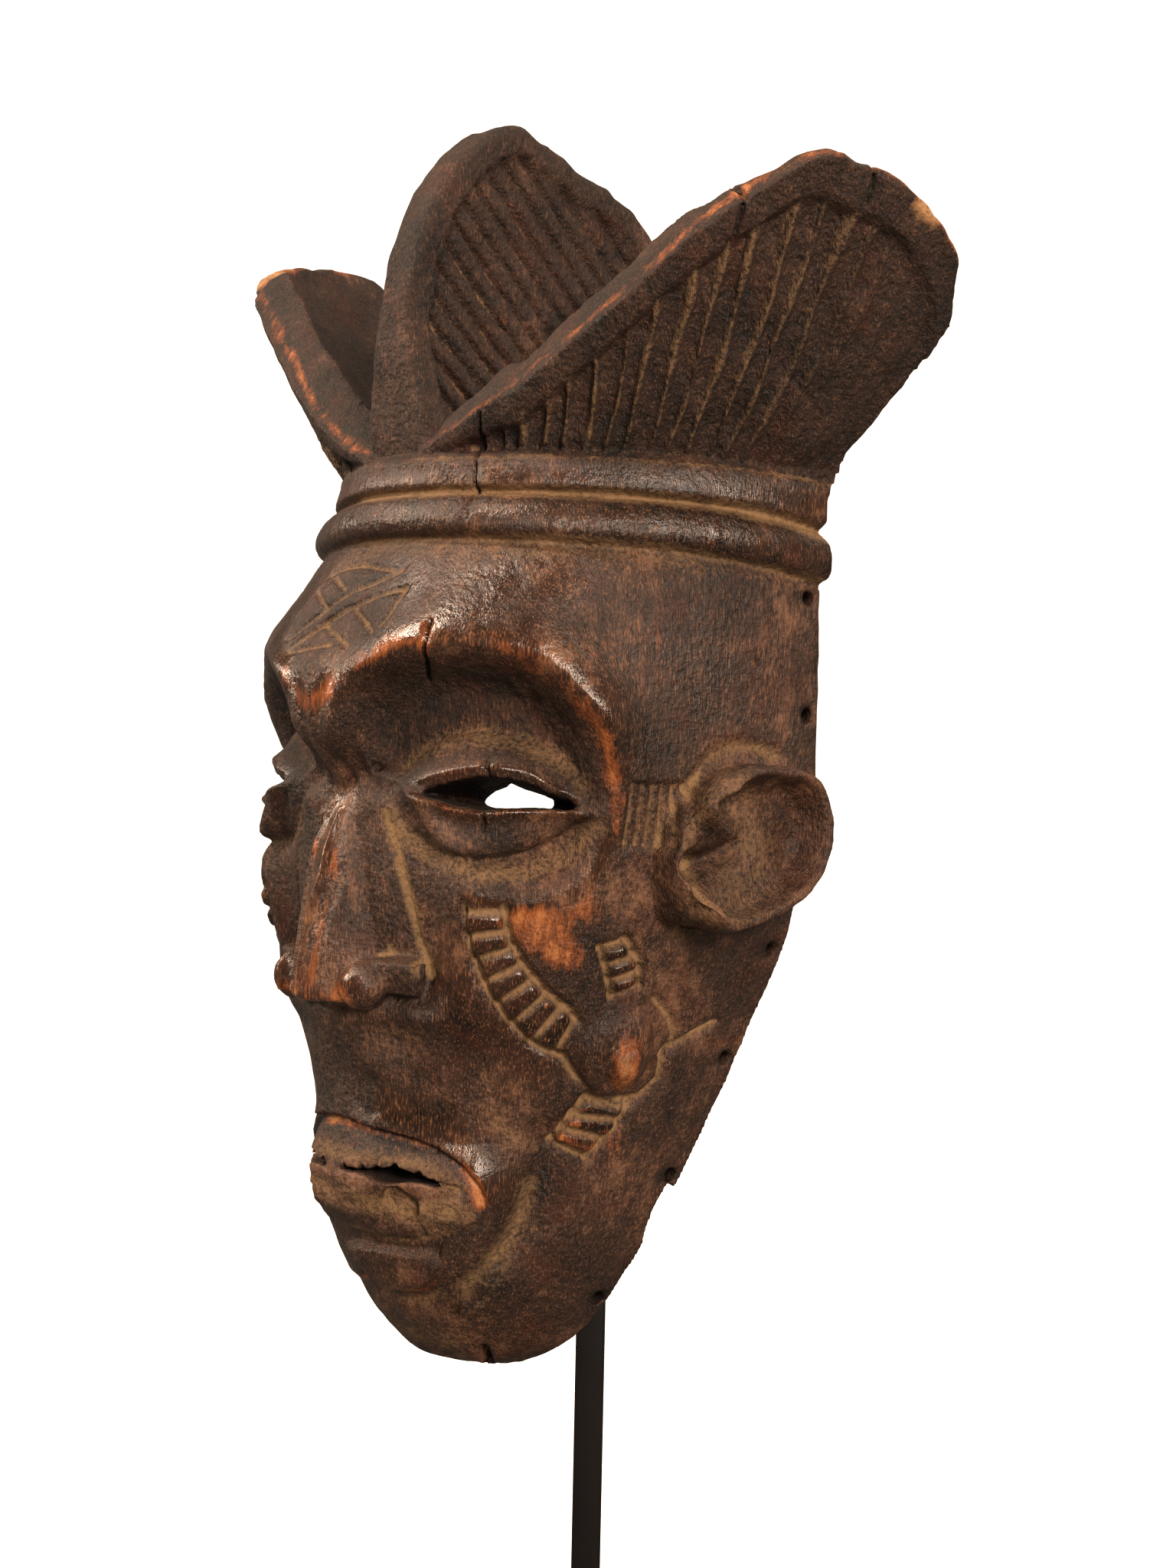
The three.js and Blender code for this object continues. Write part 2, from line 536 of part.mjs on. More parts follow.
// A bar that lies on the skin between two places, standing proud of it
function rung(from, to) {
  const p = skin(from[0], from[1]);
  const q = skin(to[0], to[1]);
  const middle = skin((from[0] + to[0]) / 2, (from[1] + to[1]) / 2, RUNG_PROUD - 1.2);
  const along = q.clone().sub(p);
  const out = middle.clone().setZ(0).setY(middle.y + 20).normalize();
  const across = new THREE.Vector3().crossVectors(along, out).normalize();
  const outward = new THREE.Vector3().crossVectors(across, along).normalize();
  const box = new THREE.BoxGeometry(along.length(), RUNG_WIDE, 2.4);
  const turn = new THREE.Matrix4().makeBasis(along.normalize(), across, outward);
  return solid(box.applyMatrix4(turn).translate(middle.x, middle.y, middle.z));
}

function polyline(points, t) {
  const at = t * (points.length - 1);
  const i = Math.min(Math.floor(at), points.length - 2);
  return [0, 1].map((k) => lerp(points[i][k], points[i + 1][k], at - i));
}

function scars(side) {
  const bars = [];
  for (const { inner, outer, rungs } of LADDERS) {
    for (let i = 0; i < rungs; i += 1) {
      const ends = [polyline(inner, (i + 0.5) / rungs), polyline(outer, (i + 0.5) / rungs)];
      bars.push(rung(...ends.map(([a, z]) => [side * a, z])));
    }
  }
  const { from, to, low, high, rungs } = TEMPLE_LADDER;
  for (let i = 0; i < rungs; i += 1) {
    const a = side * lerp(from, to, (i + 0.5) / rungs);
    bars.push(rung([a, low], [a, high]));
  }
  const bead = new THREE.SphereGeometry(1, 10, 6);
  const place = skin(side * BOSS[0], BOSS[1] - 1);
  bars.push(solid(bead.scale(...BEAD_RADII).translate(place.x, place.y, place.z)));
  return bars;
}

function noseWing(side) {
  const ball = new THREE.SphereGeometry(WING_BALL_RADIUS, 10, 7);
  return solid(ball.translate(side * WING_BALL[0], WING_BALL[1], WING_BALL[2]));
}

// A round-section rim swept along most of an oval, closed at both ends
function ear(side) {
  const [middleY, middleZ] = EAR_CENTRE;
  const spine = steps(140, [[-150, 18]]).map((angle, i, all) => {
    const t = i / (all.length - 1);
    const out = lerp(EAR_OUT[0], EAR_OUT[1], Math.sin(Math.PI * Math.min(1, t * 1.15)));
    const turn = radians(angle);
    const up = EAR_HALF[1] * Math.sin(turn);
    const y = middleY + EAR_HALF[0] * Math.cos(turn) + EAR_TAPER * Math.min(0, up);
    return new THREE.Vector3(out, y, middleZ + up);
  });
  const rings = spine.map((p, i) => {
    const radius = EAR_RIM_RADIUS * (i === 0 || i === spine.length - 1 ? 0.7 : 1);
    const away = new THREE.Vector3(0, p.y - middleY, p.z - middleZ).normalize();
    return steps(0, [[288, 72]]).map((angle) => {
      const a = radians(angle);
      const q = p.clone().addScaledVector(away, radius * Math.cos(a));
      q.x = side * (p.x + radius * Math.sin(a));
      return q;
    });
  });
  const bowl = new THREE.CylinderGeometry(1, 1.08, EAR_BOWL * 2, 14);
  bowl.rotateZ(side * -Math.PI / 2);
  bowl.scale(1, EAR_HALF[0], EAR_HALF[1]);
  bowl.translate(side * (CREST_HALF - 2), middleY, middleZ);
  const tragus = new THREE.SphereGeometry(TRAGUS_RADIUS, 8, 6);
  tragus.translate(side * 76, middleY - EAR_HALF[0] * 0.8, middleZ);
  return solid(loft(rings)).add(solid(bowl)).add(solid(tragus));
}

function rimHole(side, [a, z]) {
  const drill = new THREE.CylinderGeometry(HOLE_RADIUS, HOLE_RADIUS, 44, 8);
  const place = blank(side * a, z);
  const slant = 0.25;
  drill.rotateZ(Math.PI / 2);
  drill.rotateZ(side * -slant);
  return solid(drill.translate(place.x, rimLine(place.z) - 5 + slant * 4, place.z));
}

// A chip broken from the left rim low on the cheek, and a notch worn into the chin's edge
function losses() {
  const chip = new THREE.BoxGeometry(30, 8, 34);
  chip.rotateX(-0.2);
  const at = blank(88, 52);
  chip.translate(at.x, rimLine(52) + 1.8, 52);
  const notch = new THREE.ConeGeometry(4.5, 12, 6);
  notch.translate(9, -52, 10);
  return solid(chip).add(solid(notch));
}

function carveMask() {
  let wood = faceBody().subtract(hollow());
  wood = wood.add(crestFin());
  for (const side of [1, -1]) {
    wood = wood.add(crestWing(side)).add(ear(side)).add(noseWing(side));
    for (const scar of scars(side)) wood = wood.add(scar);
    wood = wood.subtract(pierce(SLIT.map(([a, z]) => [side * a, z]), EYE_CUT));
    for (const place of HOLES) wood = wood.subtract(rimHole(side, place));
  }
  return geometryOf(wood.subtract(mouthSlit()).subtract(losses()));
}

function squareBar(side, corner, height) {
  const h = side / 2;
  const shape = new THREE.Shape();
  for (let i = 0; i < 4; i += 1) {
    const start = (i * Math.PI) / 2;
    const x = (h - corner) * Math.SQRT2 * Math.cos(start + Math.PI / 4);
    const y = (h - corner) * Math.SQRT2 * Math.sin(start + Math.PI / 4);
    shape.absarc(x, y, corner, start, start + Math.PI / 2, false);
  }
  return new THREE.ExtrudeGeometry(shape, { depth: height, bevelEnabled: false, curveSegments: 3 });
}

function roundFoot() {
  const r = FOOT_RADIUS;
  const c = FOOT_CHAMFER;
  const profile = [[0, 0], [r - c / 2, 0], [r, c / 2], [r, FOOT_THICK - c], [r - c, FOOT_THICK], [0, FOOT_THICK]];
  const foot = new THREE.LatheGeometry(profile.map(([x, y]) => new THREE.Vector2(x, y)), 48);
  return foot.rotateX(Math.PI / 2);
}

function piece(name, geometry, finish, position = [0, 0, 0], turn = 0) {
  const mesh = new THREE.Mesh(geometry, new THREE.MeshStandardMaterial(finish));
  mesh.name = name;
  mesh.position.set(...position);
  mesh.rotation.z = turn;
  return mesh;
}

const plateTop = MASK_LIFT + HOLLOW_TOP - JOINT_GAP;
const barFoot = FOOT_THICK + JOINT_GAP;
const barHeight = plateTop - PLATE_THICK - JOINT_GAP - barFoot;
const plate = new THREE.BoxGeometry(PLATE_WIDE, PLATE_LONG, PLATE_THICK);

const object = new THREE.Group();
object.add(
  piece("mask", carveMask(), WOOD, [0, MASK_BACK, MASK_LIFT]),
  piece("holder_plate", plate, STEEL, [0, -PLATE_FORWARD, plateTop - PLATE_THICK / 2]),
  piece("post", squareBar(BAR_SIDE, BAR_CORNER, barHeight), STEEL, [0, 0, barFoot], Math.PI / 4),
  piece("foot_plate", roundFoot(), STEEL),
);

export default object;
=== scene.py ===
import math

import bmesh
import bpy
import numpy as np
from mathutils import Matrix, Vector


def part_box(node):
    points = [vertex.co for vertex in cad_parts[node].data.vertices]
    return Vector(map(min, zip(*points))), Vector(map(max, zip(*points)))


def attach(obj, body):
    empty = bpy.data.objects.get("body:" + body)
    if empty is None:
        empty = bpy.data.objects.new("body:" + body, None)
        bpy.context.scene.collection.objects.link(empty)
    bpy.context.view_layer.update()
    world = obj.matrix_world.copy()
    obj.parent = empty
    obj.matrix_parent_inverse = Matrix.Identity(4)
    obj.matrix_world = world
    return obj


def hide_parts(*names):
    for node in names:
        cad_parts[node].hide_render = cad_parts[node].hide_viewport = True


bl_info = {
    "name": "Carved Mask on a Stand",
    "version": (1, 0, 0),
    "blender": (4, 5, 0),
    "location": "View3D > Sidebar > Mask",
    "description": "Carves a patinated wooden mask and dresses its steel stand and a pale studio",
    "category": "Add Mesh",
}

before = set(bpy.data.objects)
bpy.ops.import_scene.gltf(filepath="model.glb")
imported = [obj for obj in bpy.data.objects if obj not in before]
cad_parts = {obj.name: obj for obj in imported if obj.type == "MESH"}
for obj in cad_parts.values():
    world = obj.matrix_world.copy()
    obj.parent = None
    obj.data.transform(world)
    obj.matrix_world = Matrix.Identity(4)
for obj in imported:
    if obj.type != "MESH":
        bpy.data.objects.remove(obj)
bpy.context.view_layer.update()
MM = 0.001

# Where the mask's own millimetres lie in the frame
FIN_PEAK = 337.3
FIN_REAR = 12.5
MASK_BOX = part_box("mask")
MASK_LIFT = round(MASK_BOX[1].z / MM - FIN_PEAK, 1)
MASK_BACK = 2.0

# Blank: half-widths, depths and rim line of the face by height
SQUARENESS = [(0, 2.25), (205, 2.25), (243, 1.85)]
HALF_WIDTHS = [
    (0, 2), (4, 7), (10, 14), (20, 25), (30, 33), (45, 40), (60, 45), (100, 58),
    (140, 71.3), (170, 76.6), (250, 76),
]
FACE_DEPTHS = [
    (0, 38), (10, 51), (20, 64), (40, 75.5), (60, 81.6), (100, 91.3), (130, 98),
    (165, 97), (192, 96.8), (208, 93), (225, 83), (243, 78.5),
]
RIM_LINE = [(0, -38), (10, -37), (25, -31), (45, -23), (70, -13), (100, -5), (130, 0), (250, 0)]
DEGREE_MM = [(12, 0.5), (30, 0.72), (60, 0.98), (100, 1.25), (140, 1.48), (250, 1.5)]
CHIN_BOTTOM = 12.5
BODY_TOP = 247
WALL = 11
EYE_WALL = 25
HOLLOW_TOP = 228
HOLLOW_BOTTOM = 32

# Headband: a round roll, a dusty groove and a flat band over it, sinking towards the ears
ROLL_HEIGHT = 231
ROLL_HALF = 5.5
ROLL_PROUD = 4
FLAT_BAND = (238.5, 244.5)
FLAT_PROUD = 2.2
BAND_GROOVES = [(236.9, 1.3, 1.1), (224.4, 1.8, 0.7)]
BAND_DROP = [(0, 0), (205, 0), (ROLL_HEIGHT, 9.5), (243, 4), (250, 3)]

# The far temple is carved a little flatter, round a place in degrees and above a row
FAR_TEMPLE = 3
FAR_TEMPLE_AT = (-29, 22)
FAR_TEMPLE_ROWS = (191, 201)

# Form of the face over the blank, as heights and millimetres: at the midline, and beside the mouth
FORM_MIDDLE = [
    (12, 0), (20, 1), (30, 2), (36, 2.2), (38.5, 4.3), (44, 4.6), (50, 5.2), (54, 7), (60, 9.3), (66, 9.5),
    (72, 7), (78, 4.2), (82, 2.8), (88, 1.6), (94, 0.8), (104, 0.8), (112, 0), (250, 0),
]
FORM_SIDE = [
    (12, 0), (20, 0), (30, 0.5), (36.5, 1), (39, 2.4), (50, 4), (58, 5.4), (64, 4.8), (70, 3),
    (74, 0.8), (78, -1), (84, -1.5), (92, -1.4), (102, -0.9), (108, 0.4), (116, 0.6), (122, -0.1),
    (126, 0.2), (132, 0.9), (138, 1.8), (144, 2.4), (150, 1.5), (158, 0), (250, 0),
]
FORM_REACH = (36, 52)

# Orbit outline, one side: degrees round the face from the midline, and height
ORBIT = [
    (4.6, 184.5), (7, 190), (10.8, 194.4), (16, 197.3), (22, 199.5), (31, 200), (42, 197.5), (48.1, 190.7),
    (53.4, 181.8), (55.6, 171), (55.8, 158), (55, 148), (52.5, 141), (48, 138), (42, 136), (36, 137),
    (31, 138.5), (25, 143), (20, 150), (12, 158), (4, 162), (2, 168), (2.4, 175),
]
ORBIT_DEEP = 9.5
ORBIT_SHALLOW = 3
BROW_PROUD = 4.7
RIM_PROUD = 0.6
BROW_CORNER = (51, 183)
BROW_CORNER_PROUD = 3

# Eye: a swelling inside the orbit with a lid above and a puffed lid below, slit right through
EYE_CENTRE = (32.5, 163.5)
EYE_HALF = (19, 15)
EYE_PROUD = 8
LID_PUFF = 2.6
SLIT_TOP = [(17, 164.5), (24, 166.7), (28, 168), (33.5, 168.9), (40, 168), (45.5, 164), (51.5, 160.3)]
SLIT_BOTTOM = [(17, 164.5), (22.5, 162.7), (27, 160.9), (33.7, 160), (39.4, 160.6), (45.7, 160.7),
               (51.5, 160.3)]
SEE_THROUGH_TOP = [(28, 161.3), (31, 163.6), (34.6, 164.7), (35.6, 165.9), (36.8, 165.4), (40, 164.2),
                   (47.5, 161.6)]
SEE_THROUGH_BOTTOM = [(28, 160.2), (32, 159.3), (37.5, 159.2), (47.5, 159.8)]
EYE_LINE = [(17, 164), (33, 164.5), (50, 161)]
LID_FOLD = [(14, 168.5), (18.6, 175.8), (28.7, 179), (38.6, 176.8), (46.6, 171.9), (53, 164)]
LOWER_LID = [
    (16.5, 163.5), (20.4, 159), (23.6, 153.3), (27.9, 149.7), (33.6, 148), (39.9, 149.5), (46.7, 152.7),
    (51.7, 158.6),
]

# Ridge from the brow's middle down the nose: how far out it is, and its half-width in degrees
NOSE_BASE = 111
RIDGE_OUT = [
    (105, 8.2), (111, 7.8), (117, 6.2), (124.7, 4), (132, 2.5), (140, 1.2), (148, -0.2), (158, -2.7),
    (162.4, -1.6), (168, 1.5), (174, 3.5), (178, 4.5), (184, 5), (192, 4.7), (200, 2), (210, -2),
    (250, -12),
]
RIDGE_HALF = [
    (105, 10.5), (125, 10), (136, 9.2), (147, 9), (155, 8.4), (159, 6), (163, 3), (168, 2.1), (174, 2.6),
    (178, 3.4), (184, 5), (190, 8), (196, 12), (250, 16),
]
RIDGE_DROP = [(105, 7.8), (152, 7.8), (163, 3), (250, 3)]
BESIDE_NOSE = 8
ROOT_NOTCH = 4.5
NOSE_RIDGES = [
    [(-4.5, 157), (-7.5, 146), (-9.5, 134), (-10, 113)],
    [(-1, 160), (-2.5, 153), (-4.2, 145), (-5.5, 134), (-6, 113)],
    [(0.9, 158), (0.8, 149), (0.6, 141), (-1, 130), (-1.5, 122), (-1, 113)],
    [(2.9, 157), (4, 149), (5.3, 141), (4.4, 134), (4, 126), (3.6, 119), (3.9, 113)],
]
NOSE_SIDE_LINE = [(11.7, 158), (14.1, 150.6), (15.8, 145.5), (17.5, 139.8), (20.3, 127.7), (23.7, 119.1)]
WING_BALL = (13.8, -93.5, 115.8)
WING_BALL_RADIUS = 6.2
LEDGE_ROWS = (113.5, 121.5)
LEDGE_LIFT = -1.2
FAR_BELOW = 20
UNDER_NOSE = 2.2

# Mouth: a bulging oval under an upper lip with a sharp edge, with a slit
MOUTH = [
    (0, 82), (12.9, 79.3), (18.6, 78.3), (26.7, 76.1), (32.9, 73), (37, 69.6), (39.9, 65.7), (40.7, 61.5),
    (38.5, 57.5), (31.6, 55.3), (21, 52.6), (5, 52.2), (0, 52.2),
]
LIP_PROUD = 1.0
LIP_UNDERCUT = 2.3
MOUTH_SLIT = [(0, 68.6), (7, 69.1), (12.3, 68.5), (16.5, 68.6), (22.8, 68), (26, 67.4), (34.8, 66.1)]
MOUTH_SLIT_HALF = [(0, 0.5), (7, 0.6), (10.5, 1.3), (16, 1.9), (20, 1.4), (25, 0.7), (28, 0.45)]
TEETH = (3.5, 8.4, 11.7, 16.1, 22.6)
LOWER_LIP = [(0, 61), (18, 60), (34, 61)]
LIP_CHIP = [(17.5, 63), (21, 60)]
LIP_HOLLOW = [(8.6, 86.8), (8.9, 88.8)]
CHIN_NOTCH = [(46, 6), (45, 16), (43.5, 19)]
CHIN_ROLL = [
    (-8, 47), (-1.5, 41.4), (2.4, 37.8), (8, 37.2), (14, 37.4), (20, 38.2), (26, 41), (30, 46),
    (26, 50), (12, 49.5), (0, 49.5),
]
CHIN_ROLL_PROUD = 2.0
CHIN_CREASE = [(-3, 38), (2.4, 34.8), (8, 34.2), (20, 35.2), (27, 38.5)]
CHEEK_GROOVE = [(52, 80), (54.5, 73.5), (52.5, 64.2), (50.8, 55.5), (45.3, 48.3), (35.3, 39.5)]
CHEEK_GROOVE_DEEP = 2.6

# Scars: ladders of raised blocks between two cut lines, and a boss with a bead on each cheek
LADDERS = [
    {
        "left": [(32.5, 137.5), (33.5, 131), (35.5, 123.5), (38.5, 116), (42.5, 109), (47.5, 103),
                 (54, 99.5)],
        "right": [(40, 137), (41.5, 129), (44.5, 122.5), (49.5, 115.5), (54.5, 110.5), (56, 108)],
        "cuts": 8,
    },
    {
        "left": [(57.5, 127), (59.5, 121), (61.5, 114)],
        "right": [(61.5, 129), (65, 123), (66, 116.5)],
        "cuts": 4,
    },
    {
        "left": [(60.5, 88.5), (57, 82), (54, 77.5)],
        "right": [(71, 88), (69, 80), (64, 72.5)],
        "cuts": 4,
    },
]
CHEEK_LINES = [
    [(54, 99.5), (57, 94.5), (60.8, 90), (63.4, 87), (68.3, 85.6), (72.3, 87.8), (75.4, 92.2),
     (74.7, 98.6)],
    [(74.7, 98.6), (75.8, 103), (73.8, 108), (69.7, 113.3)],
    [(75, 99), (79, 103), (83, 106)],
]
BY_EAR = [
    (82.8, 173.9), (79, 175.9), (75.1, 176.1), (71.8, 173.7), (69.6, 169.7), (68, 166.4), (67.9, 162.1),
    (68.1, 155.4), (68.3, 148.7), (69.6, 142.1), (70.6, 136.9), (70.7, 130),
]
TEMPLE_BARS = {"from": 58.5, "to": 67, "low": 152, "high": 166, "cuts": 6}
SCAR_HALF = 1.05
SCAR_DEEP = 1.4
BLOCK_PROUD = 1.2
BOSS = (64.5, 99)
BOSS_HALF = (7.4, 12)
BOSS_PROUD = 4.2
BEAD = (66, 97)
BEAD_HALF = (3.4, 5.4)
BEAD_PROUD = 3.2

# Ears: a rim round a hollow bowl, with a lobe and a small ridge in front, as Y and Z
EAR = [
    (-40, 167.6), (-33.8, 170), (-27.1, 172.2), (-20, 171.4), (-12, 171), (-6, 169.4), (-3.2, 166),
    (-1, 160.5), (0.6, 155.5), (-1, 149.5), (-4.6, 143), (-10.9, 138.3), (-17.8, 135), (-25.8, 132.8),
    (-33.6, 131), (-40.3, 131.6), (-44.2, 134), (-46, 139), (-47.6, 144), (-48, 151), (-46.5, 158),
    (-43.5, 163.5),
]
EAR_MIDDLE = (-25, 152)
EAR_BASE = 72.5
EAR_RIM = 8.5
EAR_RIDGES = [
    ([(-43, 161), (-38.5, 157.5), (-34, 154.5)], 1.7, 4.5),
    ([(-40, 165.5), (-32, 166), (-24, 167), (-17, 166)], 1.3, 1.5),
    ([(-47, 142), (-45, 137), (-42.5, 134)], 2.2, 4.5),
    ([(-44, 147), (-36, 148.5), (-28, 151)], 2.6, -5.5),
    ([(-30, 162), (-20, 160), (-10, 156), (-8, 150)], 4, -1.8),
]

# Crest wings: plates that flare out and back as they rise from the headband
CREST_BASE = 243
CREST_HALF = 76
CREST_FRONT = 77.2
CREST_ROUND = 1.77
WING_FLARE = {1: (0.0096, 0.0100), -1: (0.0109, 0.0098)}
WING_SWEEP = 0.248
WING_LEAN = 0.285
WING_REACH = 70
WING_TOP = {
    1: [(8, 4), (20, 12), (30, 21.5), (38, 32.5), (46, 46), (54, 60.5), (62, 68.8), (70, 65.5), (78, 58),
        (84, 50.5), (88, 42), (90, 37)],
    -1: [(8, 4), (20, 12), (30, 23), (38, 37), (44, 50), (50, 61), (56, 67.5), (62, 72.5), (70, 77),
         (78, 79.5), (84, 79), (88, 72), (90, 64)],
}
WING_RISE = [(8, 5), (25, 9), (45, 8.5), (55, 3.5), (65, 1), (90, 0.5)]
WING_THICK = 10
WING_ROOT = 17
WING_BORDER = 9
BORDER_PROUD = 1.4
FLUTE_PITCH = 5.1
FLUTE_DEEP = 2.2
TOP_CHIPS = 1.6

# Crest fin: its outline from the front foot over the peak to the back, as Y and Z
FIN = [
    (-68, 240), (-76, 246), (-78, 262), (-79, 280), (-77.6, 292), (-73.5, 306), (-67.3, 318.5),
    (-58, 328.5), (-50, 334.3), (-43, FIN_PEAK), (-36.5, 335.5), (-22.5, 330), (-7.5, 325.5), (4, 320),
    (10.5, 312), (FIN_REAR, 300), (11, 275), (5, 240),
]
FIN_MIDDLE = (-34, 280)
FIN_HALF = 6.5
FIN_ROOT_HALF = 13
FIN_BORDER = 8
HATCH_PITCH = 6
HATCH_DEEP = 1.8
HATCH_SLANT = 0.95

# Holes in the rim, as degrees and height
HOLES = [(86.5, 217), (87, 184), (87.5, 124.5), (87.5, 96), (86, 65), (86.5, 33)]
HOLE_RADIUS = 2
HOLE_SLANT = 0.25

# A crossed leaf cut in the middle of the forehead, and cracks with their shares of the full depth, as
# lines of degrees and rows
FIGURE = [
    [(10.3, 217.5), (4.8, 214.4), (0.5, 212.5), (-3.8, 208.2), (-8.4, 204.1), (-11.3, 200.8)],
    [(13.4, 212.9), (7.3, 211.2), (1.3, 207.9), (-2.8, 204.3), (-7.3, 200.3), (-9.1, 198)],
    [(-10, 217.5), (-8, 218.8), (-0.5, 219.5), (4.6, 218.4), (8.5, 217.6)],
    [(13.4, 212.9), (13.1, 209.8), (12.3, 205.6), (11.3, 203.7)],
    [(-8.7, 197.2), (-4.1, 198.3), (1.4, 199.1)],
    [(-7.8, 217.2), (-1.4, 213.4)], [(-10.7, 212.9), (-4, 208.6)],
    [(3.2, 207.8), (10.2, 202.1)], [(-2.4, 204.2), (5.5, 198.4)],
]
FIGURE_HALF = 0.8
FIGURE_DEEP = 0.9
CRACKS = [
    ([(22.5, 204.5), (22.9, 201.9), (23, 199.7), (22.2, 194.5), (19.9, 190.1)], 1),
    ([(33.2, 172), (33.5, 168)], 0.8),
    ([(33.9, 160), (33.9, 155)], 0.8),
    ([(29.7, 86.7), (26.7, 74.4)], 0.35),
    ([(29.6, 52.9), (27.6, 48)], 0.5),
    ([(33.3, 42), (31, 30.7)], 0.6),
    ([(23.1, 258), (23, 248), (23.3, 236)], 1),
    ([(23.3, 236), (23, 230)], 0.5),
    ([(54, 305.5), (53.8, 292)], 1),
    ([(67.3, 311), (67.9, 301.5)], 0.9),
]
CRACK_HALF = 0.36
CRACK_DEEP = 2.4
NAIL_HOLE = (8.1, 168.9)
NAIL_RADIUS = 1.1
NAIL_DEEP = 4
PITTED = [(12, 178), (22, 187), (34, 189), (46, 182), (51, 168)]

# How the surface has aged: a line of degrees and rows, its half-width in millimetres and what is there
# from 0 to 1. First where hands and cloth have rubbed the patina through to orange wood
WORN = [
    ([(0, 184), (2.3, 186), (9.2, 194), (15.2, 198.6), (22.7, 200.8)], 3.6, 0.56),
    ([(22.7, 200.8), (30.5, 201), (36.9, 198.5), (41.8, 194.5)], 3.6, 0.42),
    ([(41.8, 194.5), (47.3, 189), (51.8, 182), (54.6, 171.5), (55.9, 162)], 2.8, 0.6),
    ([(55.9, 162), (56.4, 154.5)], 1.1, 0.6),
    ([(43, 133.5), (50, 134), (54.5, 137)], 4.0, 0.8),
    ([(46, 131), (52, 125)], 5.0, 0.74),
    ([(-0.8, 150), (-2.6, 132), (-3.4, 113)], 1.3, 0.5),
    ([(2.6, 150), (2.4, 132), (1.4, 113)], 1.3, 0.56),
    ([(7, 125), (7, 113)], 2.0, 0.3),
    ([(7, 113), (9.5, 112.5)], 3.2, 0.85),
    ([(35, 70.5), (38, 68), (40.5, 63)], 2.4, 0.8),
    ([(0, 80.3), (9, 79)], 1.3, 0.85),
    ([(9, 79), (24, 75.8)], 0.8, 0.5),
    ([(66.3, 102), (67, 93)], 4.6, 0.66),
    ([(60, 80), (70, 76)], 7.0, 0.35),
    ([(35.5, 158.8), (42, 160.5), (50, 159.5)], 1.2, 0.45),
    ([(23, 161.6), (30, 159)], 0.9, 0.35),
    ([(14, 160), (17, 162)], 2.4, 0.45),
    ([(-1.5, 41.4), (2.4, 37.8), (8, 37.2), (20, 38.2)], 1.4, 0.9),
    ([(20, 38.2), (26, 41)], 1.5, 0.5),
    ([(5, 66), (8, 64)], 2.0, 0.45),
    ([(30, 22), (38, 28)], 3.0, 0.35),
    ([(46, 196), (60, 200)], 9.0, 0.28),
    ([(24, 206), (34, 209)], 6.0, 0.25),
]
# Then pale dust and old clay, packed into the grooves and hollows
DUSTY = [
    ([(0, 237), (90, 237)], 1.7, 0.85),
    ([(0, 225), (90, 225.4)], 1.5, 0.8),
    ([(0, 222), (90, 222)], 3.0, 0.35),
    ([(9, 246), (90, 246)], 1.6, 0.6),
    ([(14, 169.5), (20, 174.5), (30, 177.5), (39, 175.5), (46.6, 170.5), (50, 166)], 3.4, 0.55),
    ([(14, 156), (20, 149.5), (30, 146), (36, 144.5), (42, 145.5), (48, 149), (53, 156)], 3.6, 0.62),
    (NOSE_SIDE_LINE, 1.9, 1.0),
    ([(12, 123.4), (16.8, 124.6), (23.1, 126)], 0.9, 0.85),
    (BY_EAR, 1.9, 0.75),
    ([(74, 165), (80, 150), (76, 137)], 12.0, 0.4),
    ([(51, 66), (50.5, 60), (48.5, 53), (43, 46), (34, 38)], 3.6, 0.66),
    ([(26.6, 90.6), (34.8, 86.2), (45.4, 79.6), (50.5, 75.7)], 2.2, 0.45),
    ([(0, 73), (14, 72.6), (26, 70.6), (34, 67)], 2.6, 0.6),
    ([(4, 62), (20, 60), (34, 60)], 4.5, 0.74),
    ([(0, 52.6), (10, 52), (20, 51.8), (32, 55), (39, 59)], 1.6, 0.5),
    ([(-3, 37.5), (2.4, 34.3), (8, 33.7), (20, 34.7), (27, 38)], 1.8, 0.5),
    ([(66, 99), (66.8, 96)], 2.0, 0.55),
    ([(30.9, 25.7), (44.2, 37.5), (55.2, 55.5)], 1.6, 0.4),
    ([(5, 24), (24, 22)], 7.0, 0.4),
    ([(12, 104), (24, 104)], 3.0, 0.3),
    ([(62, 160), (64, 150)], 5.0, 0.3),
]
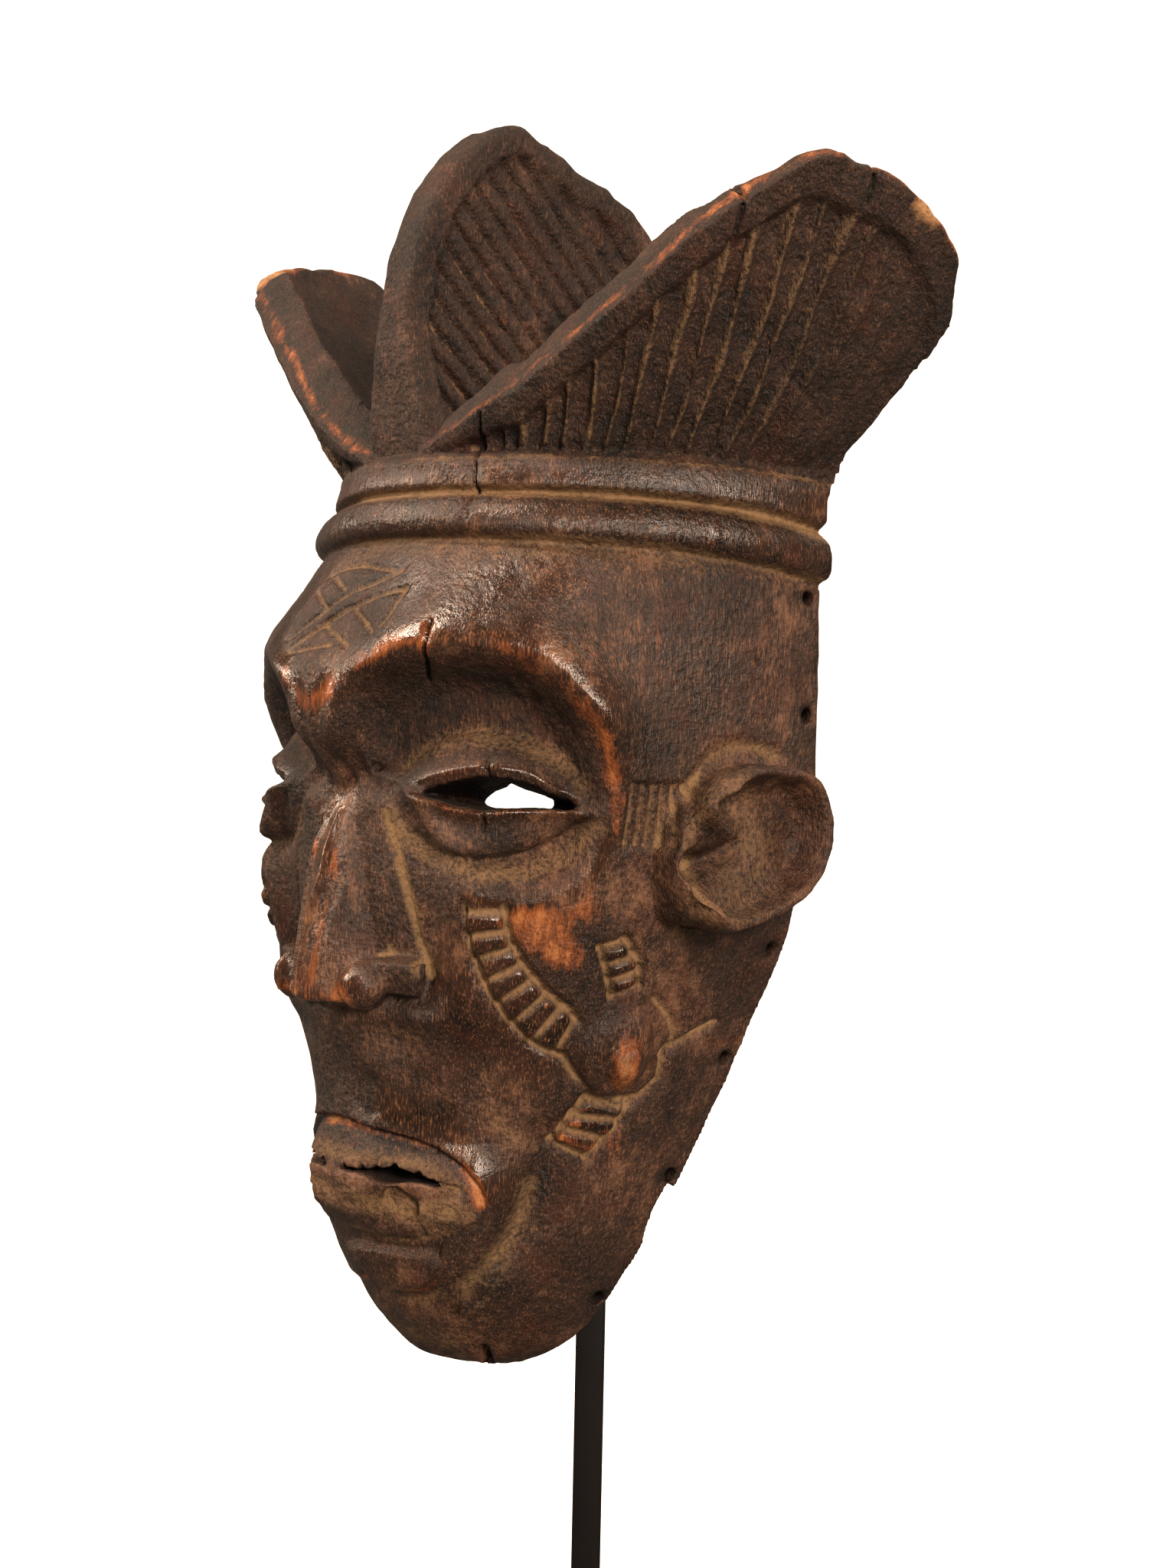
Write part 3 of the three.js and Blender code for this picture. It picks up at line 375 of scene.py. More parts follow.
# Where the patina is polished to a gloss, and where it has stayed matt
GLOSSY = [
    ([(10, 212), (40, 214)], 12.0, 0.78),
    ([(60, 200), (75, 190)], 14.0, 0.5),
    ([(2, 186), (9, 195), (15, 199.5), (23, 202), (31, 202.5), (38, 200), (45, 195), (52, 184),
      (55, 172)], 5.5, 1.0),
    ([(0, 231), (90, 231)], 4.5, 0.76),
    ([(0, 241), (90, 241)], 3.0, 0.8),
    ([(12, 178), (20, 184), (32, 186), (44, 180), (49, 170)], 8.0, 0.0),
    ([(18, 172), (32, 176), (48, 168)], 4.5, 0.12),
    ([(18, 152), (30, 146), (46, 148)], 5.0, 0.12),
    ([(33.6, 138.4), (40.2, 136.5), (44.1, 136), (48.6, 138.1), (52.8, 141), (54.8, 147),
      (55.5, 154)], 2.3, 1.0),
    ([(18, 166), (27.5, 169.2), (33.3, 170), (40, 169), (49, 162)], 1.3, 0.9),
    ([(20, 162.4), (30, 158.8), (42, 160), (50, 159)], 1.5, 0.85),
    ([(0, 160), (0, 113)], 6.0, 0.9),
    ([(12, 145), (15, 122)], 3.0, 0.5),
    ([(9, 118), (12, 116)], 3.2, 1.0),
    ([(14, 85), (22, 82), (30, 79), (38, 72), (43, 66)], 5.0, 1.0),
    ([(0, 210), (9, 205)], 8.0, 0.4),
    ([(30, 125), (38, 105), (48, 98)], 9.0, 0.8),
    ([(5, 42), (25, 30)], 12.0, 0.6),
    ([(60, 100), (69, 99)], 7.0, 0.65),
    ([(3, 63), (34, 61)], 8.0, 0.25),
]
# How deep the patina's brown is, from nearly black at 0 to a warm mid brown at 1, and painted shade
TONES_AND_SHADE = [
    ([(8, 208), (30, 212)], 15.0, 0.1),
    ([(45, 205), (62, 205)], 13.0, 0.3),
    ([(62, 185), (76, 185)], 15.0, 0.5),
    ([(0, 231), (90, 231)], 4.5, -0.4),
    ([(0, 241), (90, 241)], 3.0, 0.3),
    ([(72, 165), (80, 150), (76, 136)], 12.0, 0.42),
    # painted shade under the brow, over the upper orbit
    ([(12, 182), (22, 190), (34, 191), (46, 184)], 7.0, 0.16),
    ([(16, 171), (24, 176), (32, 178), (45, 172)], 4.0, 0.5),
    ([(16, 152), (32, 145), (48, 148)], 5.0, 0.55),
    ([(13, 152), (16, 125)], 4.0, 0.36),
    ([(0, 156), (0, 113)], 5.0, 0.6),
    ([(26, 132), (34, 106), (44, 92)], 8.0, 0.22),
    ([(62, 140), (70, 112)], 12.0, 0.8),
    ([(57, 132), (60, 108)], 6.0, 0.2),
    ([(15, 85), (22, 83), (30, 80), (38, 73), (43, 66)], 4.5, 0.1),
    ([(3, 100), (25, 99)], 6.0, 0.3),
    (LIP_HOLLOW, 4.0, -0.5),
    ([(5, 66), (32, 62)], 8.0, 1.0),
    # painted shadow under the upper lip's overhanging edge
    ([(0, 80), (12.9, 77), (20, 76), (28, 73), (34, 70), (37.5, 66)], 1.4, -0.6),
    ([(2, 44), (28, 44)], 6.0, 0.4),
    ([(5, 28), (35, 26)], 8.0, 0.52),
    ([(60, 62), (50, 40)], 10.0, -0.08),
    ([(72, 92), (66, 70)], 8.0, 0.45),
]
# Places broken so lately that the wood is bare: a middle and half-sizes, in the mask's millimetres
BARE = [((-104, -46, 311), (7, 7, 7)), ((117, -11, 303), (3, 5, 4)), ((81, 10, 50), (5, 3, 9))]

# Side of the mesh's faces on the finished wood, in millimetres, and how its points are told apart: the
# share of the blank's size from which they are its outer skin, the face's upper end and how far out a
# surface has to look
GRAIN = 0.55
SKIN_OUT = 0.8
FACE_TOP = 246
LOOKS_OUT = 0.05
WING_LOOKS_OUT = 0.5

# Stand
BAR_BEVEL = 0.9
FOOT_BEVEL = 1.0

# Camera: where it looks, from how far and how it is turned
LOOK_AT = (20, -24, 272)
CAMERA_AWAY = 560
CAMERA_ROUND = 47
CAMERA_DOWN = 1.5
CAMERA_ROLL = 1.2
LENS = 48.87

# Lights: name, place in metres, side in metres, watts and colour
LIGHTS = [
    ("key_above", (-0.6, -1.0, 1.6), 0.24, 29.0, "#ffe2c8"),
    ("front_left", (-1.4, -1.2, 0.9), 0.3, 19.0, "#ffe2c8"),
    ("right_fill", (1.6, -0.7, 0.9), 0.6, 46.0, "#ffe6d0"),
    ("top_back", (0.3, 0.9, 1.7), 0.5, 8.0, "#ffe6d0"),
]
SKY_STRENGTH = 0.24
PAPER_GLOW = 0.85
BACKDROP_BEND = 1.0
LIT_PLACE = (0, -0.03, 0.28)


def smooth(low, high, x):
    t = np.clip((x - low) / (high - low), 0, 1)
    return t * t * (3 - 2 * t)


def hump(x):
    return np.exp(-x * x)


def lerp(a, b, t):
    return a + (b - a) * t


def curve_through(points):
    """A smooth curve through points that never overshoots them, as a function of the first number."""
    xs, ys = np.array(points, float).T
    grade = np.diff(ys) / np.diff(xs)
    turns = grade[:-1] * grade[1:] <= 0
    total = np.where(turns, 1, grade[:-1] + grade[1:])
    inner = np.where(turns, 0, 2 * grade[:-1] * grade[1:] / total)
    tangents = np.concatenate([grade[:1], inner, grade[-1:]])

    def at(x):
        x = np.clip(x, xs[0], xs[-1])
        i = np.clip(np.searchsorted(xs, x, side="right") - 1, 0, len(xs) - 2)
        step = xs[i + 1] - xs[i]
        t = (x - xs[i]) / step
        bend = tangents[i] * t * (1 - t) ** 2 - tangents[i + 1] * t * t * (1 - t)
        return ys[i] + (ys[i + 1] - ys[i]) * t * t * (3 - 2 * t) + bend * step

    return at


def rounded(points, closed, times=2):
    """A line with its corners cut a few times, so that it turns softly."""
    line = np.array(points, float)
    for _ in range(times):
        after = np.roll(line, -1, axis=0) if closed else line[1:]
        before = line if closed else line[:-1]
        cut = np.stack([lerp(before, after, 0.25), lerp(before, after, 0.75)], 1).reshape(-1, 2)
        line = cut if closed else np.concatenate([line[:1], cut, line[-1:]])
    return line


def noise(places, size, seed):
    """A soft random field from -1 to 1 whose lumps are about `size` millimetres across."""
    table = np.random.default_rng(seed).uniform(-1, 1, (32, 32, 32))
    p = places / np.asarray(size, float)
    cell = np.floor(p).astype(int)
    t = p - cell
    t = t * t * (3 - 2 * t)
    total = np.zeros(places.shape[:-1])
    for corner in np.ndindex(2, 2, 2):
        share = np.prod(np.where(corner, t, 1 - t), axis=-1)
        at = (cell + corner) % 32
        total += share * table[at[..., 0], at[..., 1], at[..., 2]]
    return total


half_width = curve_through(HALF_WIDTHS)
face_depth = curve_through(FACE_DEPTHS)
rim_line = curve_through(RIM_LINE)
squareness = curve_through(SQUARENESS)
degree_mm = curve_through(DEGREE_MM)
band_drop = curve_through(BAND_DROP)
form_middle = curve_through(FORM_MIDDLE)
form_side = curve_through(FORM_SIDE)
ridge_out = curve_through(RIDGE_OUT)
ridge_half = curve_through(RIDGE_HALF)
ridge_drop = curve_through(RIDGE_DROP)
slit_top = curve_through(SLIT_TOP)
slit_bottom = curve_through(SLIT_BOTTOM)
lid_fold = curve_through(LID_FOLD)
lower_lid = curve_through(LOWER_LID)
mouth_line = curve_through(MOUTH_SLIT)
mouth_half = curve_through(MOUTH_SLIT_HALF)
wing_rise = curve_through(WING_RISE)
wing_top = {side: curve_through(points) for side, points in WING_TOP.items()}


def distance_to(line, a, z, closed=False):
    """Millimetres from places on the face to a line, positive inside a closed one."""
    line = np.asarray(line, float)
    a, z = np.broadcast_arrays(a, z)
    scale = degree_mm(z)
    nearest = np.full(a.shape, np.inf)
    inside = np.zeros(a.shape, bool)
    ends = np.roll(line, -1, axis=0) if closed else line[1:]
    for (a1, z1), (a2, z2) in zip(line, ends):
        run_a = (a2 - a1) * scale
        off_a = (a - a1) * scale
        along = (off_a * run_a + (z - z1) * (z2 - z1)) / (run_a ** 2 + (z2 - z1) ** 2 + 1e-9)
        t = np.clip(along, 0, 1)
        nearest = np.minimum(nearest, np.hypot(off_a - run_a * t, z - z1 - (z2 - z1) * t))
        if closed and z1 != z2:
            crosses = (z1 > z) != (z2 > z)
            inside ^= crosses & (a < (a2 - a1) * (z - z1) / (z2 - z1) + a1)
    return np.where(inside, nearest, -nearest) if closed else nearest


def line_distance(line, y, z):
    """Millimetres from places to a line, both in millimetres."""
    nearest = np.full(y.shape, np.inf)
    for (y1, z1), (y2, z2) in zip(line, line[1:]):
        run = (y2 - y1, z2 - z1)
        t = np.clip(((y - y1) * run[0] + (z - z1) * run[1]) / (run[0] ** 2 + run[1] ** 2), 0, 1)
        nearest = np.minimum(nearest, np.hypot(y - y1 - run[0] * t, z - z1 - run[1] * t))
    return nearest


def stroke(a, z, line, half):
    """1 along a line drawn on the face, falling away over its half-width."""
    spots = np.array(line, float)
    reach = 3 * half
    wide = reach / 0.7
    near = (a > spots[:, 0].min() - wide) & (a < spots[:, 0].max() + wide)
    near &= (z > spots[:, 1].min() - reach) & (z < spots[:, 1].max() + reach)
    drawn = np.zeros(np.shape(a))
    drawn[near] = hump(distance_to(spots, a[near], z[near]) / half)
    return drawn


def painted(a, z, base, marks):
    """A value all over the surface, drawn towards each mark's own value near its line."""
    value = np.broadcast_to(base, a.shape).astype(float)
    for line, half, there in marks:
        value = lerp(value, there, stroke(a, z, line, half))
    return value


def spot(a, z, centre, half):
    """1 at a place on the face, falling away over half-sizes in millimetres."""
    across = (a - centre[0]) * degree_mm(z) / half[0]
    return hump(np.hypot(across, (z - centre[1]) / half[1]))


# Relief: how far the carving stands out from the plain curved blank
def band_relief(phi, row):
    roll_at = ROLL_HEIGHT + 0.5 * np.sin(np.radians(phi) * 5 + 1)
    roll = np.maximum(0, 1 - ((row - roll_at) / ROLL_HALF) ** 2)
    flat = smooth(FLAT_BAND[0] - 1.5, FLAT_BAND[0], row) * (1 - smooth(FLAT_BAND[1], BODY_TOP, row))
    cut = sum(deep * hump((row - at) / half) for at, half, deep in BAND_GROOVES)
    return ROLL_PROUD * np.sqrt(roll) + FLAT_PROUD * flat - cut


def form_relief(a, z):
    """The large swellings of cheek, mouth and chin, and the dip under the nose."""
    whole = lerp(form_middle(z), form_side(z), smooth(4, 26, a)) * (1 - smooth(*FORM_REACH, a))
    return whole - UNDER_NOSE * hump((a - 15) / 8) * hump((z - 105) / 6)


def nose_hollow(a, z):
    """The hollow beside the nose, which runs up into the orbit."""
    across = lerp(0.7, 1, smooth(9, 21, a)) * (1 - smooth(23, 34, a))
    return -BESIDE_NOSE * across * smooth(107, 118, z) * (1 - smooth(164, 180, z))


def orbit_relief(a, z):
    inside = distance_to(rounded(ORBIT, True), a, z, True)
    high = smooth(150, 182, z)
    deep = lerp(ORBIT_SHALLOW, ORBIT_DEEP, smooth(140, 158, z))
    edge = lerp(RIM_PROUD, BROW_PROUD, high) + BROW_CORNER_PROUD * spot(a, z, BROW_CORNER, (10, 12))
    fall = smooth(0, lerp(14, 13, high), inside)
    return np.where(inside < 0, edge * hump(inside / 9), lerp(edge, -deep, fall))


def eye_relief(a, z):
    across = (a - EYE_CENTRE[0]) / EYE_HALF[0]
    up = (z - EYE_CENTRE[1]) / EYE_HALF[1]
    ball = EYE_PROUD * np.sqrt(np.maximum(0, 1 - across ** 2 - up ** 2)) ** 1.3
    here = smooth(15, 20, a) * (1 - smooth(50, 55, a))
    above = z - slit_top(a)
    below = slit_bottom(a) - z
    upper = 1.3 * hump((above - 1.2) / 1.5) * (above > -2) - 0.9 * hump((above - 5.5) / 2.5)
    fold = -0.6 * hump((z - lid_fold(a)) / 1.6)
    pocket = smooth(-1, 1.2, z - lower_lid(a)) * smooth(-1, 1, below) * LID_PUFF
    lip = 0.9 * hump((below - 1.4) / 1.2)
    return ball + here * (upper + fold + pocket + lip)


def ridge_relief(a, z):
    """Where the brow's middle and the nose are: a height over the blank, far below it elsewhere."""
    ridge = ridge_out(z) - ridge_drop(z) * (a / ridge_half(z)) ** 1.5
    low, high = LEDGE_ROWS
    off_ledge = 1 - smooth(low - 1, low + 0.5, z) + smooth(22.5, 26, a) + smooth(high, high + 4, z)
    under = 1 - smooth(NOSE_BASE - 0.9, NOSE_BASE + 0.5, z)
    return np.maximum(ridge, LEDGE_LIFT - FAR_BELOW * off_ledge) - FAR_BELOW * 1.5 * under


def mouth_relief(a, z):
    whole = [*MOUTH, *[(-p, q) for p, q in reversed(MOUTH[1:-1])]]
    inside = distance_to(rounded(whole, True), a, z, True)
    upper = smooth(58, 66, z)
    under = LIP_UNDERCUT * np.exp(-np.maximum(inside, 0) / 3.2)
    outside = np.minimum(inside, 0)
    beside = LIP_PROUD * upper * np.exp(outside / 4) - 1.2 * (1 - upper) * np.exp(outside / 5)
    return np.where(inside > 0, -under * upper, beside)


def cheek_relief(a, z):
    groove = distance_to(rounded(CHEEK_GROOVE, False), a, z)
    boss = 1 - ((a - BOSS[0]) / BOSS_HALF[0]) ** 2 - ((z - BOSS[1]) / BOSS_HALF[1]) ** 2
    bead = 1 - ((a - BEAD[0]) / BEAD_HALF[0]) ** 2 - ((z - BEAD[1]) / BEAD_HALF[1]) ** 2
    raised = BOSS_PROUD * np.sqrt(np.maximum(0, boss)) + BEAD_PROUD * np.sqrt(np.maximum(0, bead))
    return raised - CHEEK_GROOVE_DEEP * hump(groove / 4)


def relief(phi, row):
    a = np.abs(phi)
    orbit = orbit_relief(a, row)
    sunken = orbit + np.minimum(0, nose_hollow(a, row) - np.minimum(orbit, 0))
    carved = form_relief(a, row) + sunken + eye_relief(a, row) + mouth_relief(a, row)
    root = ROOT_NOTCH * hump(a / 6) * hump((row - 166) / 7)
    middle, reach = FAR_TEMPLE_AT
    flatter = FAR_TEMPLE * hump((phi - middle) / reach) * smooth(*FAR_TEMPLE_ROWS, row)
    front = np.maximum(carved, ridge_relief(a, row))
    return front - root + band_relief(phi, row) + cheek_relief(a, row) - flatter


# The blank's surface: phi is degrees round from the midline, z the height, lift how far outside it
def level(phi, z, lift=0.0):
    phi, z, lift = np.broadcast_arrays(*(np.asarray(value, float) for value in (phi, z, lift)))
    s = np.sin(np.radians(phi))
    c = np.maximum(np.cos(np.radians(phi)), 0)
    wide = half_width(z)
    deep = face_depth(z) + rim_line(z)
    power = squareness(z)
    side = np.sign(s) * np.abs(s) ** (2 / power)
    front = c ** (2 / power)
    nx = np.sign(s) * np.abs(side) ** (power - 1) / wide
    ny = -front ** (power - 1) / deep
    size = np.hypot(nx, ny)
    return np.stack([wide * side + nx / size * lift, rim_line(z) - deep * front + ny / size * lift, z], -1)


# Rows are heights at the midline, and near the headband they sink towards the ears
def sunk(phi, row):
    return row - band_drop(row) * (np.abs(phi) / 90) ** 3


def skin(phi, row, lift=0.0):
    return level(phi, sunk(phi, row), relief(phi, row) + lift)


def on_face(places):
    """Degrees, row and how far out (1 is the blank's surface) of places near the face."""
    x, y, z = places[..., 0], places[..., 1], places[..., 2]
    wide = half_width(z)
    deep = face_depth(z) + rim_line(z)
    power = squareness(z)
    across = np.abs(x / wide) ** (power / 2)
    ahead = np.maximum((rim_line(z) - y) / deep, 0) ** (power / 2)
    phi = np.sign(x) * np.degrees(np.arctan2(across, ahead))
    row = z
    for _ in range(3):
        row = z + band_drop(row) * (np.abs(phi) / 90) ** 3
    return phi, row, np.hypot(across, ahead) ** (2 / power)


# Solids as closed stacks of rings
def ring_solid(rings):
    """Points and triangles of a closed solid through a stack of closed rings of points."""
    count, size = rings.shape[:2]
    points = np.concatenate([rings.reshape(-1, 3), rings[[0, -1]].mean(axis=1)])
    i = np.arange(size)
    j = (i + 1) % size
    base = (np.arange(count - 1) * size)[:, None]
    walls = [np.stack([base + i, base + j, base + j + size], -1),
             np.stack([base + i, base + j + size, base + i + size], -1)]
    last = (count - 1) * size
    foot = np.stack([j, i, np.full(size, count * size)], -1)
    head = np.stack([last + i, last + j, np.full(size, count * size + 1)], -1)
    faces = np.concatenate([*(w.reshape(-1, 3) for w in walls), foot, head])
    corners = points[faces]
    volume = np.einsum("ij,ij->i", corners[:, 0], np.cross(corners[:, 1], corners[:, 2])).sum()
    return points, faces if volume > 0 else faces[:, ::-1]


def face_solid(step):
    half = np.concatenate([np.linspace(0, 60, int(100 / step)), np.linspace(60, 90, int(44 / step))[1:]])
    phi = np.concatenate([-half[:0:-1], half])
    low = np.linspace(CHIN_BOTTOM, BODY_TOP, int((BODY_TOP - CHIN_BOTTOM) / step * 1.1))
    tuck = 7 * (1 - np.sqrt(1 - (1 - np.clip((low - CHIN_BOTTOM) / 7, 0, 1)) ** 2))
    return ring_solid(skin(phi[None, :], low[:, None], -tuck[:, None]))


def hollow_solid():
    """The space inside, deeper behind the eyes, run out through the back."""
    phi = np.linspace(-90, 90, 91)[None, :]
    row = np.linspace(HOLLOW_BOTTOM, HOLLOW_TOP, 80)[:, None]
    a = np.abs(phi)
    eyes = smooth(0, 14, a) * (1 - smooth(46, 60, a)) * smooth(122, 138, row) * (1 - smooth(202, 216, row))
    wall = np.maximum(WALL + 4 * (1 - smooth(10, 30, a)), lerp(WALL, EYE_WALL, eyes))
    tuck = 12 * (1 - smooth(HOLLOW_BOTTOM - 6, HOLLOW_BOTTOM + 22, row)) * np.cos(np.radians(phi))
    inside = level(phi, row, -wall - tuck)
    inside += (0.5 * noise(inside, (9, 9, 22), 3))[..., None] * [0, 1, 0]
    back = inside[:, [-1, 0]].copy()
    back[..., 1] = 40
    return ring_solid(np.concatenate([inside, back], axis=1))


def slit_outline(a, top, low):
    """Degrees and rows round a slit, along its upper edge and back along its lower one."""
    return np.concatenate([a, a[::-1]]), np.concatenate([top, low[::-1]])


def eye_slit(side):
    """The slit between the lids, which narrows inwards to a small ragged window."""
    share = np.linspace(0, 1, 60)
    outer = lerp(SLIT_TOP[0][0] + 0.2, SLIT_TOP[-1][0] - 0.2, share)
    inner = lerp(SEE_THROUGH_TOP[0][0], SEE_THROUGH_TOP[-1][0], share)
    ragged = 0.25 * np.sin(outer * 2.1) + 0.2 * np.sin(outer * 4.7 + side)
    top, low = (np.interp(inner, *np.transpose(line)) for line in (SEE_THROUGH_TOP, SEE_THROUGH_BOTTOM))
    mouth = slit_outline(outer, slit_top(outer) + ragged * 0.8, slit_bottom(outer) + ragged * 0.5)
    window = slit_outline(inner, top, low)
    rings = [(mouth, 8), (window, 1 - EYE_WALL), (window, -EYE_WALL - 14)]
    return ring_solid(np.stack([level(side * a, sunk(a, z), lift) for (a, z), lift in rings]))


def mouth_slit():
    """The thin slit of the mouth, with small notches like teeth in its upper edge."""
    a = np.linspace(-MOUTH_SLIT_HALF[-1][0], MOUTH_SLIT_HALF[-1][0], 260)
    teeth = sum(np.maximum(0, 1 - np.abs(np.abs(a) - at) / 1.1) for at in TEETH)
    middle, half = mouth_line(np.abs(a)), mouth_half(np.abs(a))
    outline = slit_outline(a, middle + half + 1.4 * teeth, middle - half)
    return ring_solid(np.stack([level(*outline, lift) for lift in (16, -20)]))


def wing_spread(h):
    """How far a wing has flared and swept back at a height over the headband, fastest at its foot."""
    return WING_REACH * (np.maximum(h, 0) / WING_REACH) ** 0.8


def swept(phi, spread):
    """How far back a wing's face has moved: more towards the ears, and leaning forward at the front."""
    return (WING_SWEEP * (phi / 90) ** 3.5 - WING_LEAN * np.cos(np.radians(phi))) * spread


def wing_face(side, phi, h, inward=0.0):
    """A place on a crest wing's outer face: side is 1 or -1, h the height over the headband."""
    s = np.sin(np.radians(phi))
    c = np.cos(np.radians(phi))
    spread = wing_spread(h)
    flare = lerp(*WING_FLARE[side], smooth(50, 90, phi))
    x = CREST_HALF * s ** (2 / CREST_ROUND) * (1 + flare * spread)
    y = swept(phi, spread) - CREST_FRONT * c ** (2 / CREST_ROUND)
    return np.stack([side * (x - inward * s), y + inward * c, CREST_BASE + h + 0 * phi], -1)


def on_wing(places):
    """Degrees round the head of places on the crest's wings, signed like X."""
    x, y = np.abs(places[..., 0]), places[..., 1]
    spread = wing_spread(places[..., 2] - CREST_BASE)
    phi = np.full(x.shape, 50.0)
    flares = {side: np.array(WING_FLARE[side]) for side in (1, -1)}
    left = places[..., 0] > 0
    for _ in range(5):
        out = smooth(50, 90, phi)
        flare = np.where(left, lerp(*flares[1], out), lerp(*flares[-1], out))
        across = (x / (CREST_HALF * (1 + flare * spread))) ** (CREST_ROUND / 2)
        ahead = np.maximum((swept(phi, spread) - y) / CREST_FRONT, 0) ** (CREST_ROUND / 2)
        phi = np.clip(np.degrees(np.arctan2(across, ahead)), 0, 90)
    return np.where(left, phi, -phi)


def flutes(phi, h):
    """1 in the flutes of a wing's outer face, 0 on the thin ridges between them."""
    arc = phi * 1.5 + 0.03 * h + 0.5 * np.sin(phi * 0.7) + 0.35 * np.sin(h * 0.21 + phi * 1.3)
    return 1 - smooth(0.5, 0.95, np.abs((arc / FLUTE_PITCH) % 1 - 0.5) * 2)


def wing_solid(side, step):
    columns = np.linspace(9, 89.5, int(150 / step))[:, None]
    top = wing_top[side](columns)
    edge = np.concatenate([columns * 1.5, 0 * columns, 40.0 * side + 0 * columns], 1)
    chipped = 0.6 * noise(edge, 9, 31) + 0.4 * noise(edge, 3.5, 32) - 0.5
    top = top + TOP_CHIPS * (chipped[:, None] * smooth(9, 25, columns))
    border = np.minimum(WING_BORDER, top * 0.45)
    share = np.linspace(0, 1, int(85 / step))[None, :]
    h = lerp(-9, 0, np.minimum(share / 0.1, 1)) + np.maximum(share - 0.1, 0) / 0.9 * (top - 1.2)
    panel = smooth(0.6, 2.4, h) * (1 - smooth(top - border - 1.4, top - border, h))
    shallow = 1 - 0.7 * smooth(66, 80, columns)
    carved = BORDER_PROUD * panel + FLUTE_DEEP * flutes(columns, h) * panel * shallow
    outer = wing_face(side, columns, h, carved)
    bevel = wing_face(side, columns, top, 1.6)
    lift = wing_rise(columns)
    inner_share = np.linspace(0, 1, int(60 / step))[None, :]
    thick = lerp(WING_THICK, WING_ROOT, smooth(0, 1, inner_share))
    inner = wing_face(side, columns, lerp(top, -9, inner_share), thick)
    inner[..., 2] += lift * (1 - smooth(0, 0.35, inner_share))
    crown = lerp(bevel, inner[:, :1], np.linspace(0.15, 0.9, int(12 / step))[None, :, None])
    crown[..., 2] += 0.8 * np.sin(np.linspace(0.2, 2.9, crown.shape[1]))[None, :]
    return ring_solid(np.concatenate([outer, bevel, crown, inner], axis=1))


def fin_solid(step):
    outline = rounded(FIN, True, 4)
    middle = np.array(FIN_MIDDLE)
    away = outline - middle
    length = np.linalg.norm(away, axis=1, keepdims=True)
    insets = np.concatenate([np.linspace(0, 14, int(14 / step)), np.linspace(14, 60, int(40 / step))[1:]])
    half = []
    for inset in insets:
        at = middle + away * np.maximum(length - inset, 0.6) / length
        y, z = at[:, 0], np.maximum(at[:, 1], 238)
        root = lerp(FIN_ROOT_HALF / FIN_HALF, 1, smooth(246, 290, z))
        edge = np.sqrt(np.clip(inset / 2.5, 0, 1)) * 2.5 - 2.5
        panel = smooth(FIN_BORDER - 1, FIN_BORDER + 1.5, inset)
        across = (y * HATCH_SLANT + z) / math.hypot(HATCH_SLANT, 1) / HATCH_PITCH
        hatch = smooth(0.5, 0.95, np.abs(across % 1 - 0.5) * 2) * panel * smooth(250, 258, z)
        half.append(np.stack([(FIN_HALF + edge - 1.3 * panel - HATCH_DEEP * hatch) * root, y, z], -1))
    half = np.stack(half)
    return ring_solid(np.concatenate([half[::-1], half * [-1, 1, 1]]))


def ear_solid(side, step):
    """A rim round a bowl, as heights out from the side of the head inside an outline."""
    outline = rounded(EAR, True, 3)
    share = np.linspace(1, 0.02, int(30 / step))[:, None, None]
    places = np.array(EAR_MIDDLE) + (outline - EAR_MIDDLE) * share
    y, z = places[..., 0], places[..., 1]
    share = share[..., 0]
    front = smooth(-34, -46, y) * smooth(136, 142, z) * (1 - smooth(160, 166, z))
    rim = hump((share - 0.9) / 0.1) * (1 - 0.85 * front)
    x = EAR_BASE + 3.2 + EAR_RIM * rim + 1.5 * (share > 0.93) * (1 - front)
    x += 2.0 * smooth(146, 138, z) * (share < 0.86)
    for line, half, height in EAR_RIDGES:
        x += height * hump(line_distance(line, y, z) / half)
    x += 0.7 * noise(np.stack([0 * y, y, z], -1), 5, 41)
    outer = np.stack([side * x, y, z], -1)
    foot = outer[:1].copy()
    foot[..., 0] = side * (EAR_BASE - 12)
    return ring_solid(np.concatenate([foot, outer]))


def ball(centre, radii, rings=16):
    lat = np.linspace(-math.pi / 2 + 0.05, math.pi / 2 - 0.05, rings)[:, None]
    lon = np.linspace(0, 2 * math.pi, 2 * rings, endpoint=False)[None, :]
    unit = np.stack([np.cos(lat) * np.cos(lon), np.cos(lat) * np.sin(lon), np.sin(lat) + 0 * lon], -1)
    return ring_solid(np.array(centre) + unit * np.array(radii))


def drill(side, a, z):
    """A round hole through the rim, slanting in from the side."""
    at = level(side * a, sunk(a, z))
    turn = np.linspace(0, 2 * math.pi, 24, endpoint=False)
    ring = np.stack([0 * turn, HOLE_RADIUS * np.cos(turn), HOLE_RADIUS * np.sin(turn)], -1)
    middle = rim_line(at[2]) - 5
    rings = [ring + [at[0] + side * out, middle + HOLE_SLANT * (4 - out), at[2]] for out in (-22, 22)]
    return ring_solid(np.stack(rings))


def chip(centre, size, seed):
    """A rough lump to break wood away with."""
    points, faces = ball(centre, size, 14)
    return points + (noise(points, min(size) * 0.8, seed) * min(size) * 0.25)[:, None], faces


def losses():
    broken = level(88, 50)
    return [
        chip((broken[0], rim_line(50) + 3, 50), (12, 4.5, 14), 5),
        chip((9, -50, 9), (3, 8, 7), 6),
    ]


